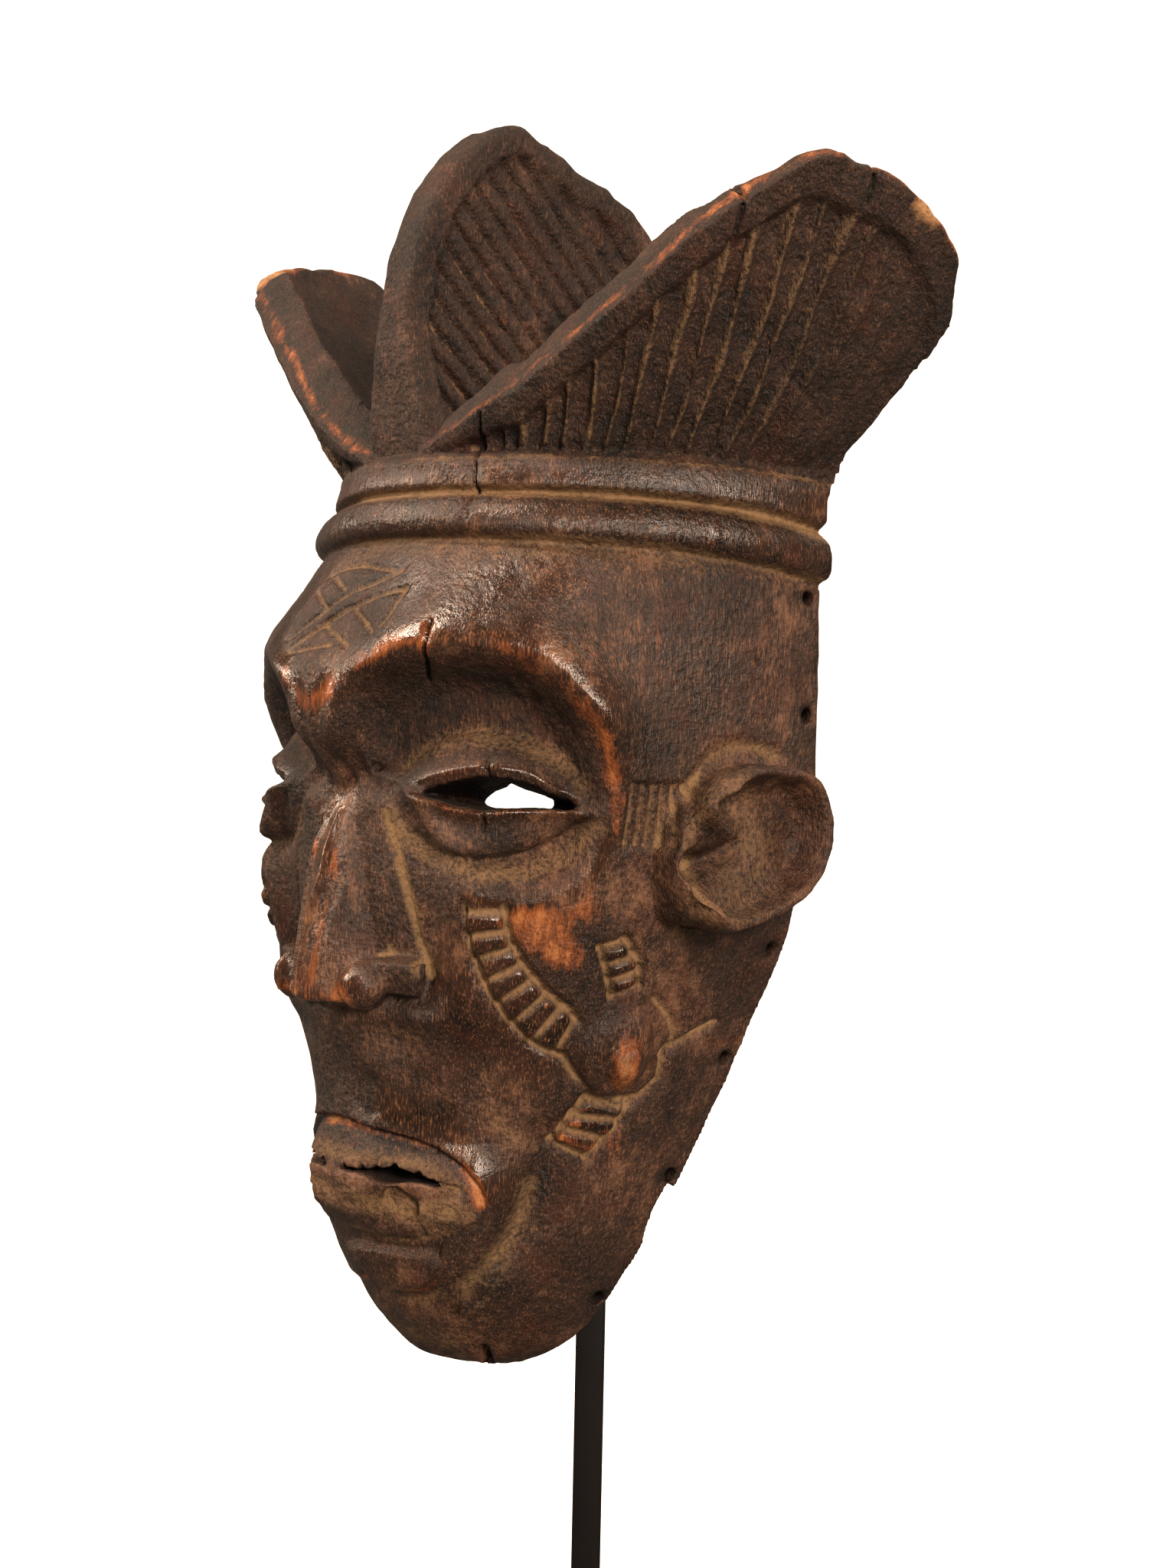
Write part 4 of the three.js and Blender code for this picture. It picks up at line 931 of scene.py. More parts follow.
# Mesh handling
def mesh_object(name, solid):
    """An object of one closed solid, given in the mask's millimetres."""
    points, faces = solid
    mesh = bpy.data.meshes.new(name)
    mesh.vertices.add(len(points))
    mesh.vertices.foreach_set("co", to_frame(points).astype(np.float32).ravel())
    mesh.loops.add(faces.size)
    mesh.loops.foreach_set("vertex_index", faces.astype(np.int32).ravel())
    mesh.polygons.add(len(faces))
    mesh.polygons.foreach_set("loop_start", np.arange(0, faces.size, 3, dtype=np.int32))
    mesh.update(calc_edges=True)
    made = bpy.data.objects.new(name, mesh)
    bpy.context.scene.collection.objects.link(made)
    return made


def to_frame(points):
    return (points + [0, MASK_BACK, MASK_LIFT]) * MM


def to_mask(points):
    return points / MM - [0, MASK_BACK, MASK_LIFT]


def make_active(piece):
    bpy.ops.object.select_all(action="DESELECT")
    piece.select_set(True)
    bpy.context.view_layer.objects.active = piece


def modify(piece, kind, **settings):
    """Adds a modifier with its settings and applies it."""
    make_active(piece)
    modifier = piece.modifiers.new(kind.lower(), kind)
    for key, value in settings.items():
        setattr(modifier, key, value)
    bpy.ops.object.modifier_apply(modifier=modifier.name)


def cut(piece, solid, operation="DIFFERENCE"):
    """Cuts a closed solid out of a piece, or joins it on."""
    tool = mesh_object("tool", solid)
    modify(piece, "BOOLEAN", object=tool, operation=operation, solver="MANIFOLD")
    bpy.data.objects.remove(tool)


def vectors_of(items, name):
    values = np.empty(len(items) * 3, np.float32)
    items.foreach_get(name, values)
    return values.reshape(-1, 3).astype(float)


def places_and_normals(mesh):
    return vectors_of(mesh.vertices, "co"), vectors_of(mesh.vertex_normals, "vector")


def set_places(mesh, places):
    mesh.vertices.foreach_set("co", places.astype(np.float32).ravel())
    mesh.update()


def softened(piece, rounds):
    """Where the mesh's points would be after that many rounds of smoothing."""
    copy = piece.copy()
    copy.data = piece.data.copy()
    bpy.context.scene.collection.objects.link(copy)
    modify(copy, "SMOOTH", factor=0.5, iterations=rounds)
    places = vectors_of(copy.data.vertices, "co")
    bpy.data.objects.remove(copy)
    return places


def hollowness(piece, rounds):
    """Millimetres that each point lies below the smoothed surface: more than 0 in a dip."""
    places, normals = places_and_normals(piece.data)
    return ((softened(piece, rounds) - places) * normals).sum(axis=1) / MM


# Fine carving, cut after the main shapes are joined
def ladder_cuts(ladder):
    """The lines of one ladder of scars: its two sides and the cuts across it."""
    sides = [curve_line(ladder[key]) for key in ("left", "right")]
    ends = [[side(t) for side in sides] for t in np.linspace(0.04, 0.96, ladder["cuts"])]
    return [ladder["left"], ladder["right"], *ends]


def curve_line(points):
    """A place along a line of points, from 0 at its start to 1 at its end."""
    line = np.array(points, float)
    lengths = np.concatenate([[0], np.cumsum(np.linalg.norm(np.diff(line, axis=0), axis=1))])
    return lambda t: np.array([np.interp(t * lengths[-1], lengths, line[:, k]) for k in (0, 1)])


def scar_lines():
    """Every thin line cut into the cheeks and temples, and how full of clay it is."""
    lines = [(line, 1.0) for ladder in LADDERS for line in ladder_cuts(ladder)]
    lines += [(line, 0.8) for line in CHEEK_LINES]
    for at in np.linspace(TEMPLE_BARS["from"], TEMPLE_BARS["to"], TEMPLE_BARS["cuts"]):
        lines.append(([(at, TEMPLE_BARS["low"]), (at, TEMPLE_BARS["high"])], 0.5))
    return lines


def scar_relief(a, z):
    out = np.zeros(len(a))
    for ladder in LADDERS:
        outline = [*ladder["left"], *reversed(ladder["right"])]
        out += BLOCK_PROUD * smooth(0, 1.5, distance_to(outline, a, z, True))
    for line, _ in scar_lines():
        out -= SCAR_DEEP * stroke(a, z, line, SCAR_HALF)
    return out - 1.2 * stroke(a, z, BY_EAR, 1.6)


def nose_relief(phi, z):
    lines = [stroke(phi, z, line, 0.8) for line in NOSE_RIDGES]
    between = stroke(phi, z, [(-1, 152), (-3, 130), (-4, 114)], 7) * smooth(112, 116, z)
    crease = 1.2 * stroke(np.abs(phi), z, NOSE_SIDE_LINE, 1.3)
    return 0.9 * np.maximum.reduce(lines) - 0.7 * between - crease


def lip_relief(places, a, z):
    """The worn lower lip's flat-sided chips, and the thin end of the mouth's slit."""
    eroded = np.abs(noise(places, (7, 7, 5), 51)) * 1.8 + 0.9 * noise(places, 3, 52)
    chipped = 2.4 * smooth(0.3, 0.55, stroke(a, z, LIP_CHIP, 3.2))
    return -stroke(a, z, LOWER_LIP, 5.5) * eroded - chipped - 1.6 * stroke(a, z, MOUTH_SLIT[4:], 0.5)


def chin_relief(phi, z):
    """The roll under the lower lip with a crease below it, and the notch in the chin's edge."""
    roll = CHIN_ROLL_PROUD * smooth(-0.4, 2.2, distance_to(CHIN_ROLL, phi, z, True))
    return roll - 0.8 * stroke(phi, z, CHIN_CREASE, 1.6) - 4 * stroke(phi, z, CHIN_NOTCH, 1.8)


def hole_distance(phi, z, hole):
    """Millimetres from places on the face to a hole's middle."""
    return np.hypot((phi - hole[0]) * degree_mm(z), z - hole[1])


def fine_relief(places, phi, z):
    a = np.abs(phi)
    out = scar_relief(a, z) + nose_relief(phi, z) + lip_relief(places, a, z) + chin_relief(phi, z)
    for line in FIGURE:
        out -= FIGURE_DEEP * stroke(phi, z, line, FIGURE_HALF)
    out -= NAIL_DEEP * hump(hole_distance(phi, z, NAIL_HOLE) / NAIL_RADIUS)
    for hole in HOLES:
        out -= 0.25 * hump((hole_distance(a, z, hole) / 3.3) ** 3)
    out -= 0.9 * smooth(0.2, 0.6, stroke(phi, z, LIP_HOLLOW, 5))
    return out + 0.5 * stroke(a, z, PITTED, 9) * np.minimum(0, noise(places, 1.9, 53) - 0.1)


def crack_relief(phi, z):
    return -CRACK_DEEP * sum(share * stroke(phi, z, line, CRACK_HALF) for line, share in CRACKS)


def hand_work(places, phi, row, face, cracked, tool_marks):
    """Millimetres by which fine carving, cracks and the knife's marks move each point outwards."""
    moved = np.zeros(len(places))
    moved[face] = fine_relief(places[face], phi[face], row[face])
    moved[cracked] += crack_relief(phi[cracked], row[cracked])
    rough = np.where(face, 0.6, 1.0)
    moved += rough * tool_marks * noise(places, (9, 9, 16), 11)
    moved += 0.28 * rough * noise(places, (2.4, 2.4, 5), 12)
    rugged = smooth(244, 250, places[:, 2]) + smooth(58, 44, places[:, 2]) * 0.8
    return moved + 0.55 * rugged * noise(places, (5, 5, 8), 13)


def joined_solids(step):
    """Face, wings, ears and fin as one mesh, with every opening and loss cut out of it."""
    mask = mesh_object("mask_carving", face_solid(step))
    cut(mask, hollow_solid())
    for side in (1, -1):
        nose_wing = ball((side * WING_BALL[0], *WING_BALL[1:]), [WING_BALL_RADIUS] * 3)
        for solid in (wing_solid(side, step), ear_solid(side, step), nose_wing):
            cut(mask, solid, "UNION")
        for solid in (eye_slit(side), *(drill(side, a, z) for a, z in HOLES)):
            cut(mask, solid)
    cut(mask, fin_solid(step), "UNION")
    for solid in (mouth_slit(), *losses()):
        cut(mask, solid)
    modify(mask, "REMESH", mode="VOXEL", voxel_size=step * MM, adaptivity=0.0)
    return mask


def add_piece(piece, node_names, finish):
    piece.data.materials.clear()
    piece.data.materials.append(finish)
    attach(piece, "root")
    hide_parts(*node_names)


def linear(colour):
    """A hex colour as linear red, green, blue and alpha."""
    parts = [int(colour[i:i + 2], 16) / 255 for i in (1, 3, 5)]
    return [c / 12.92 if c <= 0.04045 else ((c + 0.055) / 1.055) ** 2.4 for c in parts] + [1]


def add_node(tree, kind, settings=None, links=None, output=None):
    """Adds a node, sets its properties and fixed inputs, joins its links and returns an output."""
    node = tree.nodes.new(kind)
    for key, value in (settings or {}).items():
        if isinstance(key, str) and hasattr(node, key):
            setattr(node, key, value)
        else:
            node.inputs[key].default_value = value
    for key, socket in (links or {}).items():
        tree.links.new(socket, node.inputs[key])
    if output is not None:
        return node.outputs[output]
    return next((socket for socket in node.outputs if socket.enabled), None)


# Settings that many nodes share: one for colours mixed, one for a pattern added at some weight
COLOURS = {"data_type": "RGBA"}
ADDED = {"operation": "MULTIPLY_ADD"}


def new_material(name):
    """An empty material and its node tree."""
    material = bpy.data.materials.new(name)
    material.use_nodes = True
    material.node_tree.nodes.clear()
    return material, material.node_tree


# Old tropical hardwood, carved green with adze and knife, smoked and oiled until a dark brown patina lies
# over the wood. Handling has polished the high places to a gloss and worn edges through to orange wood,
# while clay and dust have dried pale in the grooves. The eye gets a dark streaky brown with sharp
# highlights on the brow and nose, orange edges and khaki lines.
def patinated_wood():
    material, tree = new_material("patinated_hardwood")
    place = add_node(tree, "ShaderNodeTexCoord", output="Object")
    wear, dust_and_highlight, gloss, tone_and_shade, painted_shade, bare = (
        add_node(tree, "ShaderNodeAttribute", {"attribute_name": name}, output="Fac")
        for name in ("wear", "dust_and_highlight", "gloss", "tone_and_shade", "painted_shade", "bare"))

    # Patterns as scale, detail, roughness and distortion: cloudy patches 20 mm across, red ones 13 mm,
    # blotches 4 mm, crust 1.6 mm, streaks of 2 by 14 mm, fibres of 0.4 by 2.4 mm and specks of 1.1 mm
    streaky, fibrous = (
        add_node(tree, "ShaderNodeMapping", {"Scale": scale}, {"Vector": place})
        for scale in ((480, 480, 70), (2600, 2600, 420)))
    cloud, red, blotch, crust, streak, fibre, speck = (
        add_node(tree, "ShaderNodeTexNoise", {
            "Scale": scale, "Detail": detail, "Roughness": rough, "Distortion": bent}, {
            "Vector": where}, "Fac")
        for where, scale, detail, rough, bent in (
            (place, 50.0, 4.0, 0.5, 0.0), (place, 75.0, 3.0, 0.5, 0.6), (place, 230.0, 4.0, 0.65, 0.0),
            (place, 620.0, 2.0, 0.5, 0.0), (streaky, 1.0, 4.0, 0.6, 0.0), (fibrous, 1.0, 3.0, 0.6, 0.0),
            (place, 900.0, 3.0, 0.7, 0.0)))

    # Patina: nearly black in streaks and in the painted shade of hollows, flutes and the places under the
    # brow and the upper lip's edge, brown where it is thin, with red-brown patches and, where it is
    # polished, flecks of paler fibre
    depth = tone_and_shade
    for pattern, weight in ((cloud, 2.6), (blotch, 1.8), (streak, 1.1), (fibre, 1.6)):
        depth = add_node(tree, "ShaderNodeMath", {**ADDED, 1: weight}, {0: pattern, 2: depth})
    lower = add_node(tree, "ShaderNodeMapRange", {"From Min": 3.1, "From Max": 4.0}, {"Value": depth})
    upper = add_node(tree, "ShaderNodeMapRange", {"From Min": 4.0, "From Max": 4.7}, {"Value": depth})
    patches = add_node(tree, "ShaderNodeMapRange", {
        "From Min": 0.54, "From Max": 0.74, "To Max": 0.45}, {"Value": red})
    shown = add_node(tree, "ShaderNodeMapRange", {"From Min": 0.56, "From Max": 0.7}, {"Value": fibre})
    polish = add_node(tree, "ShaderNodeMapRange", {"To Min": 0.25, "To Max": 0.8}, {"Value": gloss})
    flecks = add_node(tree, "ShaderNodeMath", {"operation": "MULTIPLY"}, {0: shown, 1: polish})
    brown = add_node(tree, "ShaderNodeMix", {
        **COLOURS, 6: linear("#0d0704"), 7: linear("#382419")}, {0: lower}, 2)
    for share, shade in ((upper, "#75543f"), (patches, "#471e0f"), (flecks, "#946644")):
        brown = add_node(tree, "ShaderNodeMix", {**COLOURS, 7: linear(shade)}, {0: share, 6: brown}, 2)

    # Wear breaks up along the grain, from orange at its edge to pale wood in its middle
    ragged = wear
    for pattern, weight in ((streak, 0.8), (fibre, 0.5)):
        ragged = add_node(tree, "ShaderNodeMath", {**ADDED, 1: weight}, {0: pattern, 2: ragged})
    worn = add_node(tree, "ShaderNodeMapRange", {"From Min": 0.95, "From Max": 1.3}, {"Value": ragged})
    rubbed = add_node(tree, "ShaderNodeMapRange", {"From Min": 1.2, "From Max": 1.7}, {"Value": ragged})
    orange = add_node(tree, "ShaderNodeMix", {
        **COLOURS, 6: linear("#8f5029"), 7: linear("#cf8f56")}, {0: rubbed}, 2)
    colour = add_node(tree, "ShaderNodeMix", COLOURS, {0: worn, 6: brown, 7: orange}, 2)

    # Dust lies in specks and thins out towards the edges of the grooves; on the wings' ridges the same pale
    # colour is a painted highlight
    grainy = add_node(tree, "ShaderNodeMath", {**ADDED, 1: 0.9}, {0: speck, 2: dust_and_highlight})
    dust_and_highlight_share = add_node(tree, "ShaderNodeMapRange", {
        "From Min": 0.68, "From Max": 1.25, "To Max": 0.9}, {"Value": grainy})
    clay = add_node(tree, "ShaderNodeMix", {
        **COLOURS, 6: linear("#6f563a"), 7: linear("#9c7d58")}, {0: cloud}, 2)
    colour = add_node(tree, "ShaderNodeMix", COLOURS, {0: dust_and_highlight_share, 6: colour, 7: clay}, 2)

    # Over it all the fresh breaks, black painted shade in the slits, cracks and holes, and dark painted
    # shade in the pits of matt places
    dull = add_node(tree, "ShaderNodeMapRange", {
        "From Max": 0.5, "To Min": 0.75, "To Max": 0.1}, {"Value": gloss})
    # painted shade in the pits of the bump, where the patina is matt
    pit = add_node(tree, "ShaderNodeMapRange", {"From Min": 0.5, "From Max": 0.4}, {"Value": speck})
    pit_shade = add_node(tree, "ShaderNodeMath", {"operation": "MULTIPLY"}, {0: pit, 1: dull})
    for share, shade in ((bare, "#b98a5c"), (painted_shade, "#050302"), (pit_shade, "#0d0704")):
        colour = add_node(tree, "ShaderNodeMix", {**COLOURS, 7: linear(shade)}, {0: share, 6: colour}, 2)

    # The more polished a place is, the smoother its grain lies
    shine = add_node(tree, "ShaderNodeMapRange", {
        "From Max": 0.85, "To Min": 0.76, "To Max": 0.1}, {"Value": gloss})
    uneven = add_node(tree, "ShaderNodeMath", {**ADDED, 1: 0.2}, {0: streak, 2: shine})
    rough = add_node(tree, "ShaderNodeMix", {"data_type": "FLOAT", 3: 0.9}, {0: dust_and_highlight_share, 2: uneven}, 0)
    height = fibre
    for pattern, weight in ((streak, 1.2), (speck, 1.0), (crust, 2.0)):
        height = add_node(tree, "ShaderNodeMath", {**ADDED, 1: weight}, {0: pattern, 2: height})
    coarse = add_node(tree, "ShaderNodeMapRange", {
        "From Max": 0.9, "To Min": 0.95, "To Max": 0.14}, {"Value": gloss})
    bump = add_node(tree, "ShaderNodeBump", {"Distance": 0.0006}, {
        "Height": height, "Strength": coarse}, "Normal")
    shader = add_node(tree, "ShaderNodeBsdfPrincipled", {"IOR": 1.5, "Specular IOR Level": 0.48}, {
        "Base Color": colour, "Roughness": rough, "Normal": bump})
    add_node(tree, "ShaderNodeOutputMaterial", None, {"Surface": shader})
    return material


# Square steel bar, brushed with thin black paint: a dark even surface with a soft sheen and fine grit
def black_steel():
    material, tree = new_material("black_painted_steel")
    place = add_node(tree, "ShaderNodeTexCoord", output="Object")
    grit = add_node(tree, "ShaderNodeTexNoise", {"Scale": 1800.0, "Detail": 2.0}, {"Vector": place}, "Fac")
    cloud = add_node(tree, "ShaderNodeTexNoise", {"Scale": 60.0, "Detail": 3.0}, {"Vector": place}, "Fac")
    rough = add_node(tree, "ShaderNodeMapRange", {"To Min": 0.4, "To Max": 0.62}, {"Value": cloud})
    bump = add_node(tree, "ShaderNodeBump", {"Strength": 0.3, "Distance": 0.0001}, {
        "Height": grit}, "Normal")
    shader = add_node(tree, "ShaderNodeBsdfPrincipled", {
        "Base Color": linear("#070505"), "IOR": 1.5, "Specular IOR Level": 0.35}, {
        "Roughness": rough, "Normal": bump})
    add_node(tree, "ShaderNodeOutputMaterial", None, {"Surface": shader})
    return material


# Matt backdrop paper lit on its own: an even pale field behind and under the mask
def pale_paper():
    material, tree = new_material("pale_backdrop_paper")
    shader = add_node(tree, "ShaderNodeBsdfPrincipled", {
        "Base Color": linear("#f7f3ea"), "Roughness": 0.9, "Emission Color": linear("#fffdf8"),
        "Emission Strength": PAPER_GLOW})
    add_node(tree, "ShaderNodeOutputMaterial", None, {"Surface": shader})
    return material


def wing_marks(places, phi, row, panel):
    """Flutes (painted shade), ridges between them (painted highlight) and rim of the wings' outer faces, 0
    to 1.
    """
    a = np.abs(phi)
    top = np.where(phi > 0, wing_top[1](a), wing_top[-1](a)) + CREST_BASE
    inside = panel * smooth(246, 250, row) * smooth(top - WING_BORDER + 1, top - WING_BORDER - 2, row)
    groove = flutes(a, row - CREST_BASE) * inside
    ridge = (inside - groove) * (1 - 0.6 * smooth(60, 76, a))
    rim = (np.abs(places[:, 0]) > 10) * (row > CREST_BASE + 6) * hump((row - top - 0.2) / 1.5)
    return groove, ridge, rim


def scar_marks(phi, row):
    """The cut lines of the scars and the leaf, and the raised blocks between them, each from 0 to 1."""
    a = np.abs(phi)
    cuts, blocks = np.zeros(len(a)), np.zeros(len(a))
    for line, full in scar_lines():
        cuts = np.maximum(cuts, full * stroke(a, row, line, SCAR_HALF))
    for line in FIGURE:
        cuts = np.maximum(cuts, 0.65 * stroke(phi, row, line, FIGURE_HALF))
    for ladder in LADDERS:
        blocks += smooth(0.5, 1.5, distance_to([*ladder["left"], *reversed(ladder["right"])], a, row, True))
    return cuts, blocks * smooth(0.5, 0.1, cuts)


def painted_shade_in_openings(phi, row, out, on, cracked):
    """Where painted shade is black: in the slits, the cracks, the nail hole and the rim's holes."""
    a = np.abs(phi)
    painted_shade = stroke(a, row, EYE_LINE, 5) * smooth(0.985, 0.95, out)
    painted_shade = np.maximum(painted_shade, stroke(a, row, MOUTH_SLIT, 2.5) * smooth(1.06, 1.02, out))
    for line, share in CRACKS:
        painted_shade = np.maximum(painted_shade, share * stroke(phi, row, line, CRACK_HALF * 1.2) * cracked)
    painted_shade = np.maximum(painted_shade, on * hump(hole_distance(phi, row, NAIL_HOLE) / 1.3))
    for hole in HOLES:
        painted_shade = np.maximum(painted_shade, 0.8 * on * hump((hole_distance(a, row, hole) / 2.7) ** 3))
    return painted_shade


def age(mesh, places, phi, row, out, face, panel, fine, broad):
    """Paints wear, dust and painted highlights, gloss, brown and painted shade, and fresh breaks on its
    points.
    """
    a = np.abs(phi)
    on = face.astype(float)
    patch, small = (noise(places, size, seed) * 0.5 + 0.5 for size, seed in ((14, 21), (4, 22)))
    near = lerp(0.12, 1, smooth(-14, -4, phi))
    groove, ridge, rim = wing_marks(places, phi, row, panel)
    cuts, blocks = scar_marks(phi, row)

    edges = smooth(0.03, 0.2, -fine) * 0.45 + smooth(0.15, 1.0, -broad) * 0.5
    rubbed = np.where(face, 0.42, np.where(panel, 0.3, 0.45)) * lerp(0.3, 1.3, patch)
    wear = painted(a, row, 0.0, WORN) * on * near * lerp(0.6, 1.2, small) + edges * rubbed
    wear = wear * (1 - 0.7 * stroke(a, row, EYE_LINE, 5)) + 0.62 * rim * lerp(0.4, 1.3, small)

    hollows = smooth(0.05, 0.3, fine) * 0.5 + smooth(0.3, 1.4, broad) * 0.5
    settled = painted(a, row, 0.0, DUSTY) * on * lerp(0.65, 1.1, small)
    dust_and_highlight = np.maximum(settled, lerp(0.6, 1.0, small) * cuts * on) * lerp(0.5, 1, near)
    # the wings' ridges are painted pale as a painted highlight
    dust_and_highlight += hollows * lerp(0.4, 1.1, patch) + 0.5 * ridge

    gloss = (painted(a, row, 0.38, GLOSSY) * on + 0.22 * (1 - on)) * lerp(0.75, 1.1, small)
    gloss = np.maximum(gloss, 0.95 * on * blocks)

    # darker in the wings' flutes as painted shade
    tone_and_shade = lerp(0.12, painted(a, row, 0.35, TONES_AND_SHADE), on) - 0.4 * groove - 0.2 * panel - 0.4 * blocks * on
    # darker on the far half of the face, and painted shade in the dips off the face, as in the crest's
    # hatching
    tone_and_shade -= 0.25 * on * smooth(-8, -20, phi) + 0.5 * (1 - on) * smooth(0.08, 0.35, fine)

    bare = np.zeros(len(a))
    for centre, radius in BARE:
        bare = np.maximum(bare, smooth(1.15, 0.8, np.linalg.norm((places - centre) / radius, axis=-1)))
    layers = {"wear": wear, "dust_and_highlight": dust_and_highlight, "gloss": gloss, "tone_and_shade": tone_and_shade, "bare": bare}
    # black painted shade in the slits, the cracks, the nail hole and the rim's holes
    layers["painted_shade"] = painted_shade_in_openings(phi, row, out, on, face | panel)
    for name, values in layers.items():
        layer = mesh.attributes.new(name, "FLOAT", "POINT")
        layer.data.foreach_set("value", np.clip(values, 0, 1).astype(np.float32))


class MaskSizes(bpy.types.PropertyGroup):
    """Sizes of the carving that can be changed before it is made"""
    grain_of_mesh: bpy.props.FloatProperty(
        name="Mesh grain", description="Side of the mesh's faces on the carved wood", default=GRAIN,
        min=0.4)
    faces: bpy.props.IntProperty(
        name="Faces", description="Most triangles that the finished mask may have", default=195000)
    tool_marks: bpy.props.FloatProperty(
        name="Tool marks", description="Depth of the knife's marks in millimetres", default=0.35)


class StudioSizes(bpy.types.PropertyGroup):
    """Sizes of the studio round the mask"""
    floor_radius: bpy.props.FloatProperty(
        name="Floor radius", description="Reach of the pale floor", default=3.0, unit="LENGTH")
    wall_height: bpy.props.FloatProperty(
        name="Wall height", description="Height of the curved backdrop", default=2.6, unit="LENGTH")
    light_power: bpy.props.FloatProperty(
        name="Light power", description="Strength of all the lights, 1 for the photograph's", default=1.0)


class MASK_OT_carve(bpy.types.Operator):
    """Carve the wooden mask: face, headband, crest and ears"""
    bl_idname = "mask.carve"
    bl_label = "Carve the Mask"

    def execute(self, context):
        sizes = context.scene.mask_sizes
        step = sizes.grain_of_mesh * 1.0
        mask = joined_solids(step)
        places, normals = places_and_normals(mask.data)
        places = to_mask(places)
        phi, row, out = on_face(places)
        crest = (places[:, 2] > BODY_TOP) & (np.abs(places[:, 0]) > 9)
        phi[crest], row[crest] = on_wing(places[crest]), places[crest, 2]
        facing = normals[:, 0] * np.sin(np.radians(phi)) - normals[:, 1] * np.cos(np.radians(phi))
        skin = (facing > LOOKS_OUT) & (out > SKIN_OUT)
        face = skin & (row < FACE_TOP)
        cracked = skin | ((facing > LOOKS_OUT) & crest)
        places += normals * hand_work(places, phi, row, face, cracked, sizes.tool_marks)[:, None]
        set_places(mask.data, to_frame(places))
        finer = (GRAIN / step) ** 2
        fine = hollowness(mask, max(1, round(8 * finer)))
        broad = hollowness(mask, round(60 * finer))
        panel = crest & (facing > WING_LOOKS_OUT)
        age(mask.data, places, phi, row, out, face, panel, fine, broad)
        triangles = 2 * len(mask.data.polygons)
        modify(mask, "DECIMATE", ratio=min(1.0, sizes.faces / triangles))
        make_active(mask)
        bpy.ops.object.shade_smooth()
        add_piece(mask, ["mask"], patinated_wood())
        return {"FINISHED"}


def finish_steel(name, node, bevel, steel):
    """Names, bevels and paints the piece just added, in place of a solid of the frame."""
    piece = bpy.context.object
    piece.name = name
    bpy.ops.object.transform_apply()
    modify(piece, "BEVEL", width=bevel * MM, segments=3)
    add_piece(piece, [node], steel)
    bpy.ops.object.shade_smooth_by_angle(angle=math.radians(40))


class MASK_OT_stand(bpy.types.Operator):
    """Make the steel stand: a round foot, a square bar and the plate inside the mask"""
    bl_idname = "mask.stand"
    bl_label = "Make the Stand"

    def execute(self, context):
        steel = black_steel()
        low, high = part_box("foot_plate")
        bpy.ops.mesh.primitive_cylinder_add(vertices=128, radius=high.x, depth=high.z - low.z,
                                            location=(0, 0, (low.z + high.z) / 2))
        finish_steel("round_foot", "foot_plate", FOOT_BEVEL, steel)
        low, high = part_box("post")
        side = (high.x - low.x + 2 * BAR_BEVEL * MM * (math.sqrt(2) - 1)) / math.sqrt(2)
        bpy.ops.mesh.primitive_cube_add(size=1, location=(0, 0, (low.z + high.z) / 2))
        context.object.scale = (side, side, high.z - low.z)
        context.object.rotation_euler = (0, 0, math.pi / 4)
        finish_steel("square_bar", "post", BAR_BEVEL, steel)
        low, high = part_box("holder_plate")
        bpy.ops.mesh.primitive_cube_add(size=1, location=(low + high) / 2)
        context.object.scale = high - low
        finish_steel("holder_tongue", "holder_plate", BAR_BEVEL, steel)
        return {"FINISHED"}


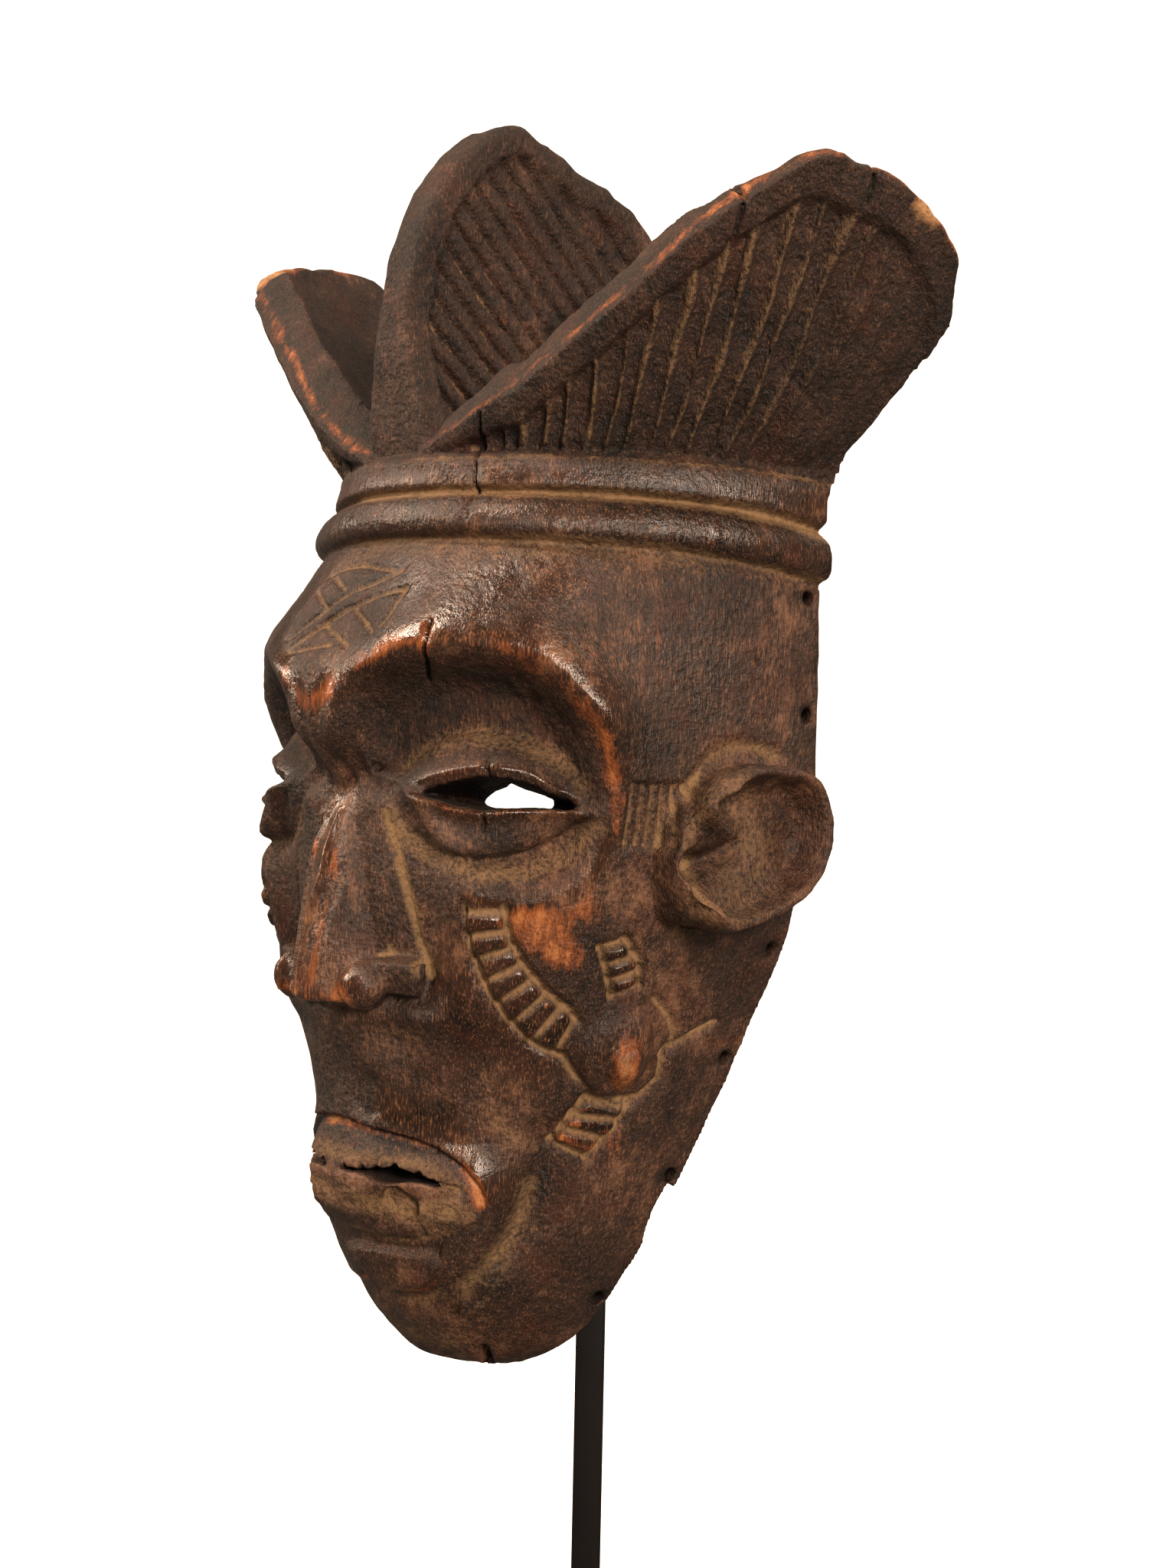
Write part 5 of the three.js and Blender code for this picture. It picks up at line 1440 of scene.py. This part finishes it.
class MASK_OT_studio(bpy.types.Operator):
    """Set up the pale floor and backdrop, the soft lights and the camera"""
    bl_idname = "mask.studio"
    bl_label = "Set Up the Studio"

    def execute(self, context):
        sizes = context.scene.studio_sizes
        scene = context.scene
        radius, height = sizes.floor_radius, sizes.wall_height
        bend, flat = BACKDROP_BEND, radius - BACKDROP_BEND
        turns = np.linspace(0, math.pi / 2, 16)[1:]
        curve = [(flat + bend * math.sin(t), bend - bend * math.cos(t)) for t in turns]
        profile = [(0.0, 0.0), (flat, 0.0), *curve, (radius, height)]
        mesh = bpy.data.meshes.new("backdrop")
        shape = bmesh.new()
        points = [shape.verts.new((r, 0, z)) for r, z in profile]
        edges = [shape.edges.new(pair) for pair in zip(points, points[1:])]
        bmesh.ops.spin(shape, geom=points + edges, axis=(0, 0, 1), cent=(0, 0, 0), angle=2 * math.pi,
                       steps=96)
        bmesh.ops.remove_doubles(shape, verts=shape.verts, dist=1e-5)
        bmesh.ops.recalc_face_normals(shape, faces=shape.faces)
        shape.to_mesh(mesh)
        shape.free()
        floor = bpy.data.objects.new("backdrop", mesh)
        scene.collection.objects.link(floor)
        make_active(floor)
        bpy.ops.object.shade_smooth()
        floor.data.materials.append(pale_paper())
        floor.visible_diffuse = False
        floor.visible_glossy = False

        world = bpy.data.worlds.new("soft_sky")
        scene.world = world
        world.use_nodes = True
        sky = world.node_tree.nodes["Background"]
        sky.inputs["Color"].default_value = linear("#ffe8d2")
        sky.inputs["Strength"].default_value = SKY_STRENGTH

        for name, at, size, power, colour in LIGHTS:
            light = bpy.data.lights.new(name, "AREA")
            light.size = size
            light.energy = power * sizes.light_power
            light.color = linear(colour)[:3]
            lamp = bpy.data.objects.new(name, light)
            lamp.location = at
            lamp.rotation_euler = (Vector(LIT_PLACE) - Vector(at)).to_track_quat("-Z", "Y").to_euler()
            scene.collection.objects.link(lamp)

        scene.view_settings.view_transform = "Standard"
        camera = bpy.data.cameras.new("camera")
        camera.lens = LENS
        camera.clip_end = 20
        view = bpy.data.objects.new("camera", camera)
        scene.collection.objects.link(view)
        scene.camera = view
        turn, down, roll = (math.radians(v) for v in (CAMERA_ROUND, CAMERA_DOWN, CAMERA_ROLL))
        right = Vector((math.cos(turn), math.sin(turn), 0))
        level_ahead = Vector((-math.sin(turn), math.cos(turn), 0))
        ahead = level_ahead * math.cos(down) - Vector((0, 0, math.sin(down)))
        up = right.cross(ahead)
        c, s = math.cos(roll), math.sin(roll)
        axes = (right * c + up * s, up * c - right * s, -ahead)
        place = Matrix([[axis[i] for axis in axes] for i in range(3)]).to_4x4()
        place.translation = (Vector(LOOK_AT) - ahead * CAMERA_AWAY) * MM
        view.matrix_world = place
        return {"FINISHED"}


class MASK_PT_panel(bpy.types.Panel):
    """Lists the mask's operators and sizes"""
    bl_label = "Carved Mask"
    bl_space_type = "VIEW_3D"
    bl_region_type = "UI"
    bl_category = "Mask"

    def draw(self, context):
        layout = self.layout
        for group in (context.scene.mask_sizes, context.scene.studio_sizes):
            for name in group.__annotations__:
                layout.prop(group, name)
        for step in STEPS:
            layout.operator(step.bl_idname)


STEPS = (MASK_OT_studio, MASK_OT_carve, MASK_OT_stand)
CLASSES = (MaskSizes, StudioSizes, *STEPS, MASK_PT_panel)


def register():
    for made in CLASSES:
        bpy.utils.register_class(made)
    bpy.types.Scene.mask_sizes = bpy.props.PointerProperty(type=MaskSizes)
    bpy.types.Scene.studio_sizes = bpy.props.PointerProperty(type=StudioSizes)


def unregister():
    del bpy.types.Scene.studio_sizes
    del bpy.types.Scene.mask_sizes
    for made in reversed(CLASSES):
        bpy.utils.unregister_class(made)


def main():
    register()
    bpy.ops.mask.studio()
    bpy.ops.mask.carve()
    bpy.ops.mask.stand()


if __name__ == "__main__":
    main()
